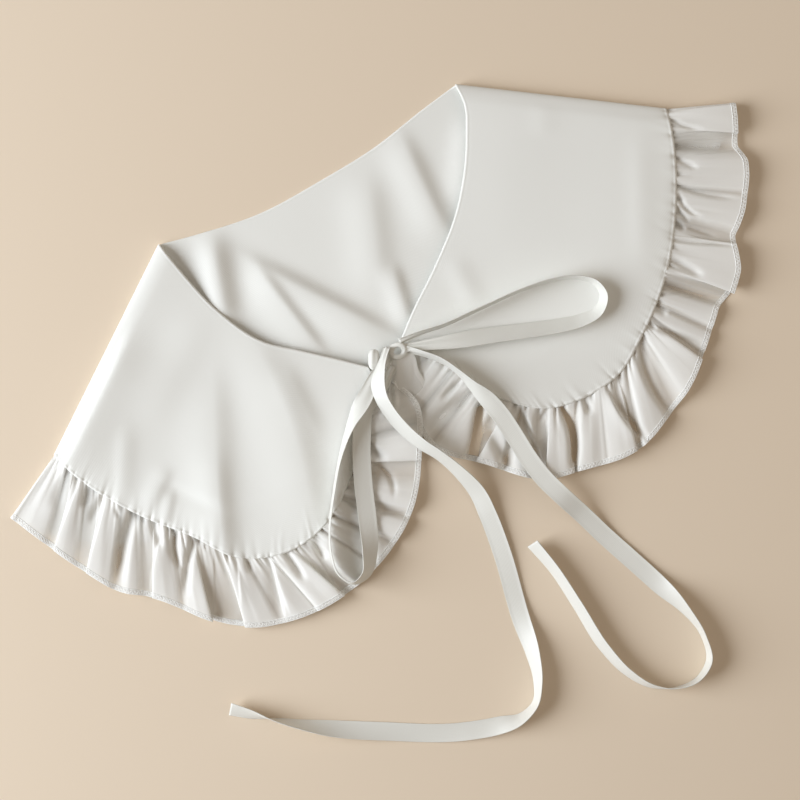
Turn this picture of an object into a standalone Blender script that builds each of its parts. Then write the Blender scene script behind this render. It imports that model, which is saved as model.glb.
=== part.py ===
"""False collar laid flat: a back panel, two rounded front lobes folded over it at the shoulders, a gathered
ruffle round the outer edge, and two ribbon ties that hold the front in a bow with two loops and two free tails.

Every outline is given in the collar's own plan, in millimetres: x along the neck, y towards the nape and
z up from the surface that the collar lies on, with x = y = 0 at the middle of the nape edge.
"""
import bpy
import numpy as np

MM = 0.001

# Cloth and ribbon, in millimetres
BODY_WALL = 1.2          # two layers of satin with their turned edges
RUFFLE_WALL = 1.0
RIBBON_WALL = 1.0
RIBBON_WIDTH = 10.0
RIBBON_KNOTTED = 4.5     # the same ribbon, squeezed where the knot holds it
TAIL_OPENS = 22.0        # the length over which a tail opens to its full width
LOOP_OPENS = 40.0        # and a loop, whose two ends lie side by side
SEAM_GAP = 0.65
REST_HEIGHT = BODY_WALL / 2
FLAT_UNDER = 0.05        # a fold lower than this lies flat

# How the layers lie on each other, in millimetres
FOLD_RADIUS = 3.2        # of the soft roll at each shoulder fold
FOLD_GAP = 0.6
FRONT_HEIGHT = 5.4       # of a front's middle surface over the back and its ruffle
FRONT_DROOP = 1.3        # how much lower the lobes hang beyond the back ruffle
DROOP_FROM_Y = -152.0
DROOP_TO_Y = -182.0
ROLL_REACH = 20.0        # how far from its fold a front comes down to that height
ROLL_FADE = 4.0          # how close to its fold the other folds begin

# Gathers and folds of the ruffles
GATHER_PITCH = 9.5
GATHER_DEPTH = 0.8
GATHER_FADE = 0.45       # share of the ruffle's width over which the gathers open out
GATHER_AT_SEAM = 0.35    # share of their depth that is left where they are sewn down
GATHER_UNEVEN = 0.22
GATHER_DRIFTS = (1.7, 0.61)
CREST_BULGE = 1.1        # how much a fold swells between seam and hem
CREST_FULL = 4.0         # height over the seam at which it swells fully
CREST_RISE = 1.6         # how soon it rises from the seam
CREST_EDGE = 0.88        # height of a crest's two edges, as a share of its middle
TUCK_LIFT = 0.2          # how far tucked cloth stands above the hollow beside it
SLACK = 0.8              # of the hem's smooth line; with 1 it overshoots between its points
ROLLED_HEM = ((0.12, 0.3), (1.3, 0.75))  # distance from the fold, and share of the way to the height it lies at
PER_RAY = 40

# The middle of the box round the collar without its ribbons, in the plan above
ORIGIN_X = -5.2
ORIGIN_Y = -110.0

# Points along and across each piece
BACK_GRID = (36, 12)
FRONT_GRID = (30, 10)
BACK_RUFFLE_GRID = (100, 4)
LEFT_RUFFLE_GRID = (140, 5)
RIGHT_RUFFLE_GRID = (150, 5)
TAIL_SAMPLES = 64
LOOP_SAMPLES = 48
KNOT_GRID = (24, 10)

# Plain colours, linear
SATIN_WHITE = (0.80, 0.81, 0.77)
VOILE_WHITE = (0.76, 0.71, 0.65)
RIBBON_WHITE = (0.83, 0.83, 0.79)

# Outlines, x and y
NAPE_LEFT = (-92.2, -1.0)
NAPE_RIGHT = (92.2, 1.0)
SHOULDER_LEFT = (-196.5, -76.5)
SHOULDER_RIGHT = (188.3, -64.5)
TIP_LEFT = (-233.5, -95.7)
TIP_RIGHT = (222.9, -78.9)
NAPE_EDGE = [NAPE_LEFT, (-70, -6), (-35, -11.5), (2, -11), (38, -8.5), (70, -2.5), NAPE_RIGHT]
BACK_SEAM = [SHOULDER_LEFT, (-180, -91), (-150, -107), (-110, -118), (-50, -123.5), (0, -124.5), (50, -122.5),
             (105, -113), (145, -97), (172, -79.5), SHOULDER_RIGHT]
BACK_HEM = [TIP_LEFT, (-215, -117), (-190, -134), (-160, -146), (-115, -156), (-55, -160.5), (0, -161),
            (55, -158.5), (108, -149), (155, -131), (185, -113), (207, -94), TIP_RIGHT]
LEFT_NECK = [NAPE_LEFT, (-88.8, -18.3), (-80.6, -48.7), (-66.8, -74.6), (-51.1, -88.4), (-32.7, -104.3),
             (-22.0, -114.0)]
LEFT_SEAM = [SHOULDER_LEFT, (-190.5, -93.5), (-170.7, -126.8), (-149.6, -151.6), (-133, -173.3),
             (-120.8, -179.7), (-103.9, -183), (-82.4, -178.8), (-53.5, -158), (-30.8, -132.6), (-21.5, -120.5)]
LEFT_HEM = [TIP_LEFT, (-210.1, -142.8), (-199.9, -158.7), (-185.4, -170.1), (-158.4, -200.4), (-145.8, -209.5),
            (-124.8, -216.8), (-91.4, -218.2), (-66.1, -211.6), (-37.3, -194.5), (-17.5, -167.6),
            (-7.2, -141.9), (-13.0, -126.5)]
RIGHT_NECK = [NAPE_RIGHT, (91.4, -11.1), (84.7, -26.2), (60.2, -61.1), (36.1, -82), (12.9, -99), (2.0, -108.0)]
RIGHT_SEAM = [SHOULDER_RIGHT, (183.5, -80.6), (169.6, -110.6), (150.1, -139.4), (119, -167.8), (97.8, -180.9),
              (79.1, -183.5), (53.6, -178.8), (33.5, -161.4), (18.1, -134.1), (3.0, -115.0)]
RIGHT_HEM = [TIP_RIGHT, (219.3, -88.1), (216.2, -94.6), (211.8, -95.9), (215.3, -104), (212.9, -113.3),
             (205.5, -126.2), (196.7, -137.1), (188.4, -144.6), (186.3, -154), (180.4, -164.6), (173.1, -171.3),
             (166.5, -172.2), (156.2, -181.1), (142.7, -193.8), (130.4, -204.2), (111.8, -213.7), (90.4, -222),
             (52.1, -217.2), (37.2, -213.7), (10.3, -190.3), (-11.6, -166.9), (-9.1, -140.9), (-3.5, -125.5)]

# Long soft folds in the panels: from x0, y0 to x1, y1, how far they bow to their left in between, their
# height, and how far they spread to the left and to the right
BACK_RELIEF = [
    (-66, -12, -80, -56, 0, 4.6, 8, 13),
    (-51, -39, -41, -95, 0, 2.4, 4, 16),
    (-53, -32, -3, -104, 0, 3.4, 5, 14),
    (25, -22, 3, -80, 0, 2.0, 9, 14),
    (15, -72, 9, -102, 0, 2.0, 4, 7),
    (52, -11, 49, -69, 0, 2.6, 6, 12),
    (91, -19, 66, -56, 0, 2.0, 8, 8),
]
LEFT_RELIEF = [
    (-143, -28, -208, -78, 0, 2.8, 26, 8),
    (-100, -78, -142, -171, 0, 2.8, 8, 18),
    (-119, -118, -141, -171, 0, 1.4, 6, 12),
    (-72, -76, -94, -186, 7, 3.2, 9, 18),
    (-63, -94, -64, -134, 0, 1.0, 6, 10),
    (-21, -117, -59, -149, 0, 0.5, 8, 12),
    (-155, -83, -177, -118, 0, 0.7, 6, 5),
    (-146, -113, -165, -127, 0, 1.1, 4, 6),
    (-153, -116, -130, -146, 0, -0.7, 3, 5),
    (-149, -124, -161, -139, 0, 0.8, 3, 4),
    (-91, -47, -142, -84, 0, 1.0, 12, 14),
]
RIGHT_RELIEF = [
    (131, -31, 121, -45, 0, 0.6, 6, 4),
    (167, -72, 137, -132, 0, 1.0, 8, 5),
    (135, -154, 140, -171, 0, -0.6, 2.5, 2.5),
    (113, -25, 75, -95, 0, 0.9, 30, 26),
    (46, -84, 46, -111, 0, 0.8, 7, 7),
]

# Ruffle folds, a row for each crest, counted from the shoulder: its place along the seam and along the hem,
# its half width and height at the hem, how far the cloth tucks in under its shoulder side and under its
# front side, and the height of the hollow that follows it
LEFT_FOLDS = [
    (6, 12, 9.0, 5.6, 0.0, 0.0, 3.6),
    (21, 35, 5.5, 6.0, 4.0, 0.0, 4.0),
    (42, 58, 7.0, 6.4, 5.0, 0.0, 4.4),
    (57, 77, 4.0, 5.2, 0.0, 0.0, 3.0),
    (75, 98, 7.5, 6.8, 6.0, 0.0, 5.4),
    (90, 119, 7.0, 6.8, 0.0, 4.5, 0.7),
    (121, 152, 8.0, 5.6, 2.0, 0.0, 4.6),
    (136, 176, 8.0, 5.6, 0.0, 0.0, 4.8),
    (151, 194, 8.0, 7.0, 0.0, 4.0, 1.2),
    (170, 218, 6.0, 5.6, 0.0, 0.0, 3.6),
    (181, 233, 5.0, 5.6, 0.0, 0.0, 3.2),
    (192, 250, 5.0, 6.6, 0.0, 0.0, 3.0),
    (205, 268, 5.0, 7.0, 0.0, 0.0, 4.6),
    (224, 298, 8.0, 8.4, 2.0, 0.0, 6.6),
    (243, 322, 5.0, 8.0, 0.0, 0.0, 6.6),
]
RIGHT_FOLDS = [
    (6, 9, 8.0, 8.0, 0.0, 3.0, 4.0),
    (38, 45, 8.0, 7.6, 0.0, 0.0, 6.0),
    (55, 66, 8.0, 7.6, 0.0, 0.0, 4.6),
    (84, 98, 14.0, 8.2, 3.0, 4.0, 1.2),
    (109, 128, 5.0, 5.4, 0.0, 0.0, 3.6),
    (119, 143, 4.5, 5.8, 0.0, 0.0, 3.2),
    (127, 163, 10.0, 8.2, 3.0, 0.0, 3.2),
    (145, 202, 8.0, 7.2, 0.0, 0.0, 3.2),
    (166, 223, 8.0, 7.6, 2.0, 0.0, 6.2),
    (179, 242, 7.0, 6.8, 0.0, 0.0, 2.6),
    (200, 260, 8.0, 7.8, 0.0, 5.0, 0.7),
    (215, 282, 5.0, 6.2, 0.0, 0.0, 2.4),
    (223, 301, 6.0, 6.8, 0.0, 2.0, 0.6),
    (237, 323, 7.0, 5.0, 0.0, 0.0, 4.2),
    (256, 343, 5.0, 4.9, 0.0, 0.0, 4.2),
    (270, 360, 4.0, 4.9, 0.0, 0.0, 4.3),
]
BACK_FOLDS = 15          # pressed nearly flat under the fronts
BACK_FOLD_HALF = 8.5
BACK_FOLD_HEIGHT = 2.3
BACK_FOLD_DIP = 0.5

# Ribbons: x, y, the height of the ribbon's lower edge, and its roll, from 0 flat to 90 on edge
LEFT_TAIL = [
    (-11.0, -109.9, 8.4, 8), (-15.7, -113.0, 10.3, 5), (-19.3, -119.5, 11.7, 5), (-21.6, -132.0, 11.3, 5),
    (-21.2, -145.1, 9.6, 8), (-15.7, -164.1, 9.7, 8), (-9.8, -175.3, 8.6, 8), (-5.6, -187.0, 5.6, 10),
    (-3.5, -202.3, 1.5, 5), (-3.9, -236.2, 0.2, 5), (-11.8, -274.9, 0.1, 5), (-14.8, -294.0, 0.1, 25),
    (-19.6, -309.5, 0.1, 65), (-26.5, -319.6, 0.1, 75), (-36.5, -323.2, 0.1, 65), (-50.0, -321.2, 0.1, 25),
    (-68.5, -315.4, 0.1, 8), (-108.0, -294.5, 0.1, 8), (-131.0, -280.5, 0.1, 35), (-145.0, -270.5, 0.1, 66),
    (-157.0, -261.0, 0.1, 90), (-167.2, -252.5, 0.1, 125), (-176.2, -244.6, 0.1, 140),
]
RIGHT_TAIL = [
    (3.0, -115.6, 6.9, 5), (11.0, -121.5, 6.8, 5), (18.0, -128.4, 7.0, 5), (24.9, -142.8, 7.4, 5),
    (29.3, -166.0, 7.6, 5), (31.0, -182.0, 7.8, 5), (32.3, -197.6, 8.8, 5), (34.5, -211.0, 9.1, 5),
    (39.0, -225.0, 8.2, 8), (44.6, -240.0, 3.0, 8), (50.4, -257.0, 0.3, 5), (56.4, -272.9, 0.1, 5),
    (63.8, -292.9, 0.1, 15), (69.9, -311.0, 0.1, 60), (72.4, -329.0, 0.1, 80), (68.6, -343.2, 0.1, 80),
    (58.2, -349.2, 0.1, 86), (45.6, -347.8, 0.1, 94), (34.6, -341.0, 0.1, 106), (26.2, -328.0, 0.1, 116),
    (21.2, -310.3, 0.1, 122), (18.9, -282.0, 0.1, 126), (16.6, -259.0, 0.1, 134), (12.7, -241.2, 0.1, 142),
]
RIGHT_LOOP = [
    (3.2, -109.2, 8.4, 35), (12.0, -110.6, 8.2, 60), (23.2, -112.5, 7.4, 68), (47.3, -114.0, 7.2, 70),
    (71.4, -115.5, 7.3, 70), (88.0, -118.2, 7.0, 72), (101.0, -123.2, 6.8, 75), (109.0, -131.0, 6.7, 75),
    (109.6, -138.8, 6.8, 70), (103.4, -144.8, 7.0, 50), (93.4, -145.4, 7.1, 25), (81.6, -142.6, 7.1, 10),
    (60.9, -135.4, 7.3, 5), (40.4, -128.0, 8.0, 5), (24.0, -122.4, 9.4, 8), (4.2, -115.0, 8.9, 8),
]
LEFT_LOOP = [
    (-10.4, -114.3, 6.9, 0), (-20.2, -119.4, 8.6, 2), (-30.0, -126.8, 9.1, 10), (-43.4, -136.3, 7.4, 58),
    (-57.0, -149.2, 6.6, 72), (-70.1, -165.8, 6.6, 72), (-80.5, -180.9, 6.6, 70), (-87.0, -195.0, 6.8, 70),
    (-88.6, -206.4, 6.6, 70), (-83.6, -214.4, 6.8, 68), (-75.4, -213.2, 6.9, 55), (-68.0, -203.6, 7.4, 30),
    (-61.4, -188.6, 7.8, 12), (-52.8, -166.4, 8.0, 8), (-43.6, -147.4, 7.8, 8), (-33.6, -133.2, 7.7, 6),
    (-22.8, -129.0, 7.8, 2), (-12.6, -123.6, 7.7, 0),
]

# The knot: a ribbon wound once round the strands, so it looks like a small flattened ring
KNOT_X = -3.6
KNOT_Y = -113.6
KNOT_Z = 8.4
KNOT_RING = 3.6
KNOT_STRAND = 2.3
KNOT_TILT = 0.18

COLLECTION_NAME = "false_collar"


def clear_scene():
    for thing in list(bpy.data.objects):
        bpy.data.objects.remove(thing, do_unlink=True)


def material(name, colour, roughness):
    """A Principled finish in the cloth's plain colour (linear values)."""
    finish = bpy.data.materials.new(name)
    finish.use_nodes = True
    shader = finish.node_tree.nodes["Principled BSDF"]
    shader.inputs["Base Color"].default_value = (*colour, 1.0)
    shader.inputs["Roughness"].default_value = roughness
    shader.inputs["Metallic"].default_value = 0.0
    return finish


def smooth(points, count=600):
    """A smooth curve through the points: cubic pieces, each point's slope set by its neighbours."""
    p = np.asarray(points, float)
    step = np.linalg.norm(np.diff(p[:, :2], axis=0), axis=1)
    knot = np.concatenate([[0.0], np.cumsum(step)])
    slope = np.gradient(p, knot, axis=0)
    t = np.linspace(0.0, knot[-1], count)
    k = np.clip(np.searchsorted(knot, t, side="right") - 1, 0, len(step) - 1)
    h = step[k][:, None]
    u = ((t - knot[k]) / step[k])[:, None]
    ends = (2 * u**3 - 3 * u**2 + 1) * p[k] + (3 * u**2 - 2 * u**3) * p[k + 1]
    return ends + h * ((u**3 - 2 * u**2 + u) * slope[k] + (u**3 - u**2) * slope[k + 1])


def lengths(line):
    """Distance travelled along a line of points, from its start to each point."""
    return np.concatenate([[0.0], np.cumsum(np.linalg.norm(np.diff(line, axis=0), axis=1))])


def sample(line, at):
    """Points of a line at the given distances along it."""
    run = lengths(line)
    return np.stack([np.interp(at, run, line[:, i]) for i in range(line.shape[1])], axis=-1)


def relief(x, y, rows):
    """The sum of long soft folds. Each follows a shallow bow from one point to another and fades at its ends. To
    either side it falls away as a bell curve, steeper where its spread is less."""
    z = np.zeros_like(x)
    for x0, y0, x1, y1, bow, height, left, right in rows:
        ax, ay = x1 - x0, y1 - y0
        run = np.hypot(ax, ay)
        u = 2.0 * ((x - x0) * ax + (y - y0) * ay) / run**2 - 1.0
        side = ((x0 - x) * ay + (y - y0) * ax) / run - bow * (1.0 - u * u)
        spread = np.where(side > 0, left, right)
        z += height * np.exp(-((side / spread) ** 2) - u**4)
    return z


def from_fold(x, y, nape, shoulder):
    """Distance in plan from the shoulder fold, which is a straight line."""
    ax, ay = shoulder[0] - nape[0], shoulder[1] - nape[1]
    return np.abs((x - nape[0]) * ay - (y - nape[1]) * ax) / np.hypot(ax, ay)


def fold_drop(d):
    """How far a quarter roll falls at distance d from its fold: its radius at the fold, nothing past it."""
    inside = np.clip(FOLD_RADIUS - d, 0.0, FOLD_RADIUS) / FOLD_RADIUS
    return (FOLD_RADIUS - FOLD_GAP / 2) * (1.0 - np.sqrt(1.0 - inside**2))


def roll_stations(length, ends, count):
    """Distances along an edge: close together where the roll at one end or both turns the cloth."""
    turn = FOLD_RADIUS * np.array([0.0, 0.1, 0.4, 0.9])
    inner = np.linspace(1.6 * FOLD_RADIUS, length - 1.6 * FOLD_RADIUS * (ends - 1), count)
    last = (length - turn)[::-1] if ends == 2 else np.array([])
    return np.concatenate([turn, inner, last])


def ruled(neck, seam, ends, count, across):
    """Points in plan between two edges, joined by straight rulings."""
    neck_line, seam_line = smooth(neck), smooth(seam)
    a = sample(neck_line, roll_stations(lengths(neck_line)[-1], ends, count))
    b = sample(seam_line, roll_stations(lengths(seam_line)[-1], ends, count))
    v = np.linspace(0.0, 1.0, across)[None, :, None]
    return a[:, None, :] * (1 - v) + b[:, None, :] * v


def front_panel(neck, seam, nape, shoulder, folds):
    """A front's middle surface: it rolls over at the shoulder, then lies on the back and on its ruffle."""
    plan = ruled(neck, seam, 1, *FRONT_GRID)
    x, y = plan[..., 0], plan[..., 1]
    d = from_fold(x, y, nape, shoulder)
    top = REST_HEIGHT + 2 * FOLD_RADIUS
    past = np.clip(d - FOLD_RADIUS, 0.0, None)
    free = 1.0 - np.exp(-((past / ROLL_REACH) ** 2))
    droop = FRONT_DROOP * np.clip((DROOP_FROM_Y - y) / (DROOP_FROM_Y - DROOP_TO_Y), 0.0, 1.0)
    clear = 1.0 - np.exp(-((past / ROLL_FADE) ** 2))
    z = top - fold_drop(d) - droop + (FRONT_HEIGHT - top) * free + relief(x, y, folds) * clear
    return np.dstack([x, y, z])


def back_panel():
    """The back's middle surface: flat on the surface but for its folds, and rolled up at both shoulders."""
    plan = ruled(NAPE_EDGE, BACK_SEAM, 2, *BACK_GRID)
    x, y = plan[..., 0], plan[..., 1]
    left = from_fold(x, y, NAPE_LEFT, SHOULDER_LEFT)
    right = from_fold(x, y, NAPE_RIGHT, SHOULDER_RIGHT)
    z = REST_HEIGHT + fold_drop(np.minimum(left, right)) + relief(x, y, BACK_RELIEF)
    return np.dstack([x, y, np.where(z < REST_HEIGHT + FLAT_UNDER, REST_HEIGHT, z)])


def rolled_end(edge_z, lying_z):
    """Points of the hem where it leaves a shoulder fold: straight up or down at first, then level."""
    return [(at, edge_z + share * (lying_z - edge_z), None) for at, share in ROLLED_HEM]


def hem_rays(folds, start_z, end_z, hem_length, seam_length, ends_rolled):
    """Turns the fold table into points across the hem: place along hem, height, and place along seam.
    A tucked side gets two points, the crest's edge above and the cloth beneath it."""
    rays = [(0.0, start_z, 0.0)]
    if ends_rolled[0]:
        rays += rolled_end(start_z, folds[0][3] if start_z > FOLD_RADIUS + REST_HEIGHT else folds[0][6])
    for seam, hem, half, height, tuck_a, tuck_b, dip in folds:
        before = rays[-1][1]
        if tuck_a:
            rays.append((hem - half + tuck_a, before + TUCK_LIFT, None))
        rays.append((hem - half, CREST_EDGE * height, None))
        rays.append((hem, height, seam))
        rays.append((hem + half, CREST_EDGE * height, None))
        if tuck_b:
            rays.append((hem + half - tuck_b, dip + TUCK_LIFT, None))
        following = [row for row in folds if row[1] > hem]
        limit = following[0][1] - following[0][2] if following else hem_length - 1.5
        middle = 0.5 * (hem + half + limit)
        rays.append((middle, dip, None))
    if ends_rolled[1]:
        rays += [(hem_length - at, z, None) for at, z, _ in rolled_end(end_z, folds[-1][6])[::-1]]
    rays.append((hem_length, end_z, seam_length))
    return rays


def ruffle(seam_line, hem, folds, grid, ends_rolled, gather_depth):
    """A ruffle's middle surface. The hem is a smooth line through the crests, tucks and hollows of the fold
    table, and every point of it is joined to its place on the seam by a ruling that swells in between.
    Near the seam small uneven gathers are laid on top."""
    hem_line = smooth(hem)
    hem_length, seam_run = lengths(hem_line)[-1], lengths(seam_line)
    rays = hem_rays(folds, seam_line[0, 2], seam_line[-1, 2], hem_length, seam_run[-1], ends_rolled)
    at = np.array([ray[0] for ray in rays])
    height = np.array([ray[1] for ray in rays])
    edge = np.column_stack([sample(hem_line, at), height])
    curve = smooth_3d(edge, np.linspace(0.0, 1.0, PER_RAY * len(rays)))
    run = lengths(curve)
    known = [i for i, ray in enumerate(rays) if ray[2] is not None]
    marks = lengths_at(curve, edge, known)
    share = roll_stations(run[-1], sum(ends_rolled), grid[0])
    hem_points = sample(curve, share)
    on_seam = np.interp(share, marks, [rays[i][2] for i in known])
    seam_points = np.stack([np.interp(on_seam, seam_run, seam_line[:, i]) for i in range(3)], axis=-1)
    width = np.linalg.norm((hem_points - seam_points)[:, :2], axis=1)
    t = np.linspace(0.0, 1.0, grid[1])[None, :]
    t = (SEAM_GAP / width)[:, None] + (1.0 - (SEAM_GAP / width)[:, None]) * t
    plan = seam_points[:, None, :2] * (1 - t[..., None]) + hem_points[:, None, :2] * t[..., None]
    lift = (hem_points[:, 2] - seam_points[:, 2])[:, None]
    swell = CREST_BULGE * np.clip(lift / CREST_FULL, 0.0, 1.0) * 4 * t * (1 - t)
    z = seam_points[:, 2][:, None] + lift * (1.0 - (1.0 - t) ** CREST_RISE) + swell
    turn = on_seam / GATHER_PITCH
    phase = 2 * np.pi * (turn + GATHER_UNEVEN * sum(np.sin(drift * turn) for drift in GATHER_DRIFTS))
    fade = np.clip(1.0 - t / GATHER_FADE, 0.0, 1.0) * np.clip(t * 12, GATHER_AT_SEAM, 1.0)
    z = z + gather_depth * fade * np.sin(phase)[:, None]
    return np.dstack([plan, np.maximum(z, RUFFLE_WALL / 2)])


def smooth_3d(points, share):
    """A smooth line through points in space, at shares of its run; SLACK under 1 keeps it from overshooting."""
    run = lengths(points)
    slope = np.gradient(points, run, axis=0)
    t = share * run[-1]
    k = np.clip(np.searchsorted(run, t, side="right") - 1, 0, len(run) - 2)
    h = (run[k + 1] - run[k])[:, None]
    u = ((t - run[k]) / (run[k + 1] - run[k]))[:, None]
    ends = (2 * u**3 - 3 * u**2 + 1) * points[k] + (3 * u**2 - 2 * u**3) * points[k + 1]
    return ends + SLACK * h * ((u**3 - 2 * u**2 + u) * slope[k] + (u**3 - u**2) * slope[k + 1])


def lengths_at(curve, points, known):
    """Distance along a fine curve at which it passes each of the known points."""
    run = lengths(curve)
    nearest = [np.argmin(np.linalg.norm(curve - points[i], axis=1)) for i in known]
    return run[nearest]


def ribbon(route, samples, opens, both_ends):
    """A ribbon's middle surface: a straight line across it, rolled about the route, carried along it."""
    line = smooth(route, 1200)
    run = lengths(line[:, :3])
    at = np.linspace(0.0, run[-1], samples)
    middle = np.stack([np.interp(at, run, line[:, i]) for i in range(3)], axis=-1)
    roll = np.radians(np.interp(at, run, line[:, 3]))[:, None]
    along = np.gradient(middle, axis=0)
    along /= np.linalg.norm(along, axis=1)[:, None]
    side = np.cross([0.0, 0.0, 1.0], along)
    side /= np.linalg.norm(side, axis=1)[:, None]
    lean = np.cross(along, side)
    across = np.cos(roll) * side + np.sin(roll) * lean
    near = np.minimum(at, run[-1] - at) if both_ends else at
    open_share = np.clip(near / opens, 0.0, 1.0)
    open_share = open_share * open_share * (3 - 2 * open_share)
    half = 0.5 * (RIBBON_KNOTTED + (RIBBON_WIDTH - RIBBON_KNOTTED) * open_share)[:, None]
    middle[:, 2:] += half * np.sin(roll) + RIBBON_WALL / 2 * np.abs(np.cos(roll))
    return np.stack([middle - across * half, middle, middle + across * half], axis=1)


def knot_ring(turns, sides):
    """The knot's surface: a thick ring whose strand swells and thins once or twice on its way round."""
    a = np.linspace(0.0, 2 * np.pi, turns, endpoint=False)[:, None]
    b = np.linspace(0.0, 2 * np.pi, sides, endpoint=False)[None, :]
    strand = KNOT_STRAND * (1.0 + 0.10 * np.cos(2 * a + 0.6) + 0.06 * np.cos(3 * a))
    out = KNOT_RING * (1.0 + 0.08 * np.cos(2 * a)) + strand * np.cos(b)
    x, y = out * np.cos(a), out * np.sin(a)
    z = strand * np.sin(b) + KNOT_TILT * KNOT_RING * np.sin(2 * a)
    return np.dstack([x + KNOT_X, y + KNOT_Y, z + KNOT_Z])


def mesh_object(name, grid, finish, closed, wall):
    """A named object from a grid of points in the plan's millimetres, with its wall as a Solidify."""
    rows, columns = grid.shape[:2]
    index = np.arange(rows * columns).reshape(rows, columns)
    if closed:
        right, below = np.roll(index, -1, axis=1), np.roll(index, -1, axis=0)
        quads = np.stack([index, below, np.roll(below, -1, axis=1), right], axis=-1)
    else:
        quads = np.stack([index[:-1, :-1], index[1:, :-1], index[1:, 1:], index[:-1, 1:]], axis=-1)
    points = grid.reshape(-1, 3) * MM
    mesh = bpy.data.meshes.new(name)
    mesh.from_pydata(points.tolist(), [], quads.reshape(-1, 4).tolist())
    mesh.materials.append(finish)
    mesh.shade_smooth()
    thing = bpy.data.objects.new(name, mesh)
    if wall:
        shell = thing.modifiers.new("wall", "SOLIDIFY")
        shell.thickness = wall * MM
        shell.offset = 0.0
        shell.use_even_offset = False
        shell.use_rim = True
    return thing


def build():
    clear_scene()
    collection = bpy.data.collections.new(COLLECTION_NAME)
    bpy.context.scene.collection.children.link(collection)
    satin = material("polyester_satin", SATIN_WHITE, 0.55)
    voile = material("polyester_voile", VOILE_WHITE, 0.62)
    tape = material("satin_ribbon", RIBBON_WHITE, 0.50)

    back = back_panel()
    left = front_panel(LEFT_NECK, LEFT_SEAM, NAPE_LEFT, SHOULDER_LEFT, LEFT_RELIEF)
    right = front_panel(RIGHT_NECK, RIGHT_SEAM, NAPE_RIGHT, SHOULDER_RIGHT, RIGHT_RELIEF)
    back_seam_length = lengths(back[:, -1])[-1]
    back_hem_length = lengths(smooth(BACK_HEM))[-1]
    back_folds = [
        (share * back_seam_length, share * back_hem_length, BACK_FOLD_HALF, BACK_FOLD_HEIGHT, 0.0, 0.0,
         BACK_FOLD_DIP)
        for share in (np.arange(BACK_FOLDS) + 0.5) / BACK_FOLDS
    ]
    back_ruffle = ruffle(back[:, -1], BACK_HEM, back_folds, BACK_RUFFLE_GRID, (True, True), 0.0)
    left_ruffle = ruffle(left[:, -1], LEFT_HEM, LEFT_FOLDS, LEFT_RUFFLE_GRID, (True, False), GATHER_DEPTH)
    right_ruffle = ruffle(right[:, -1], RIGHT_HEM, RIGHT_FOLDS, RIGHT_RUFFLE_GRID, (True, False), GATHER_DEPTH)
    pieces = [
        ("back", back, satin, BODY_WALL),
        ("front_left", left, satin, BODY_WALL),
        ("front_right", right, satin, BODY_WALL),
        ("ruffle_back", back_ruffle, voile, RUFFLE_WALL),
        ("ruffle_front_left", left_ruffle, voile, RUFFLE_WALL),
        ("ruffle_front_right", right_ruffle, voile, RUFFLE_WALL),
        ("tie_tail_left", ribbon(LEFT_TAIL, TAIL_SAMPLES, TAIL_OPENS, False), tape, RIBBON_WALL),
        ("tie_tail_right", ribbon(RIGHT_TAIL, TAIL_SAMPLES, TAIL_OPENS, False), tape, RIBBON_WALL),
        ("bow_loop_left", ribbon(LEFT_LOOP, LOOP_SAMPLES, LOOP_OPENS, True), tape, RIBBON_WALL),
        ("bow_loop_right", ribbon(RIGHT_LOOP, LOOP_SAMPLES, LOOP_OPENS, True), tape, RIBBON_WALL),
    ]
    objects = [mesh_object(name, grid, finish, False, wall) for name, grid, finish, wall in pieces]
    objects.append(mesh_object("bow_knot", knot_ring(*KNOT_GRID), tape, True, None))
    for thing in objects:
        thing.location = (-ORIGIN_X * MM, -ORIGIN_Y * MM, 0.0)
        collection.objects.link(thing)


build()
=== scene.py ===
"""Looks for a false collar laid flat: satin panels folded over each other, a sheer gathered ruffle with an
overlocked hem, and two ribbon ties in a bow.

The tables give the collar's own plan in millimetres: x along the neck, y towards the nape and z up from the
surface it lies on, with x = y = 0 at the middle of the nape edge. Every piece lies on the form of its solid.
"""

import bpy
import numpy as np
from bpy.props import FloatProperty, FloatVectorProperty, PointerProperty
from bpy.types import Operator, Panel, PropertyGroup
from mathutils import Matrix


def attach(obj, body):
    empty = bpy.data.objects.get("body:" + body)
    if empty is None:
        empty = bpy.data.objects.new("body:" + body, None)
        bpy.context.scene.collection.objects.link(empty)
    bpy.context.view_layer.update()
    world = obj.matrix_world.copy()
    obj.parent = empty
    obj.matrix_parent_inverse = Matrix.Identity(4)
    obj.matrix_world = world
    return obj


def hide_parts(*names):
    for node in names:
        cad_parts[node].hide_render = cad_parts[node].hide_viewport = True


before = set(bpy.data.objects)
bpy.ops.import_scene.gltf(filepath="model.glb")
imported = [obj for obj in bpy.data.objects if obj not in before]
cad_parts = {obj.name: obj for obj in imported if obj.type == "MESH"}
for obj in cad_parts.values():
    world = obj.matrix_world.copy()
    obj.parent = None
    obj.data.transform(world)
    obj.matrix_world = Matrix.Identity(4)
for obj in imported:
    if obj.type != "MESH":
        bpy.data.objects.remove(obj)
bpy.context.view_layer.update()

bl_info = {
    "name": "False collar",
    "version": (1, 0, 0),
    "blender": (4, 5, 0),
    "location": "3D View > Sidebar > Collar",
    "description": "Satin false collar with a sheer gathered ruffle and a ribbon bow, laid flat",
    "category": "Add Mesh",
}

MM = 0.001

# The middle of the box round the collar without its ribbons, in the plan
ORIGIN_X = -5.2
ORIGIN_Y = -110.0

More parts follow.
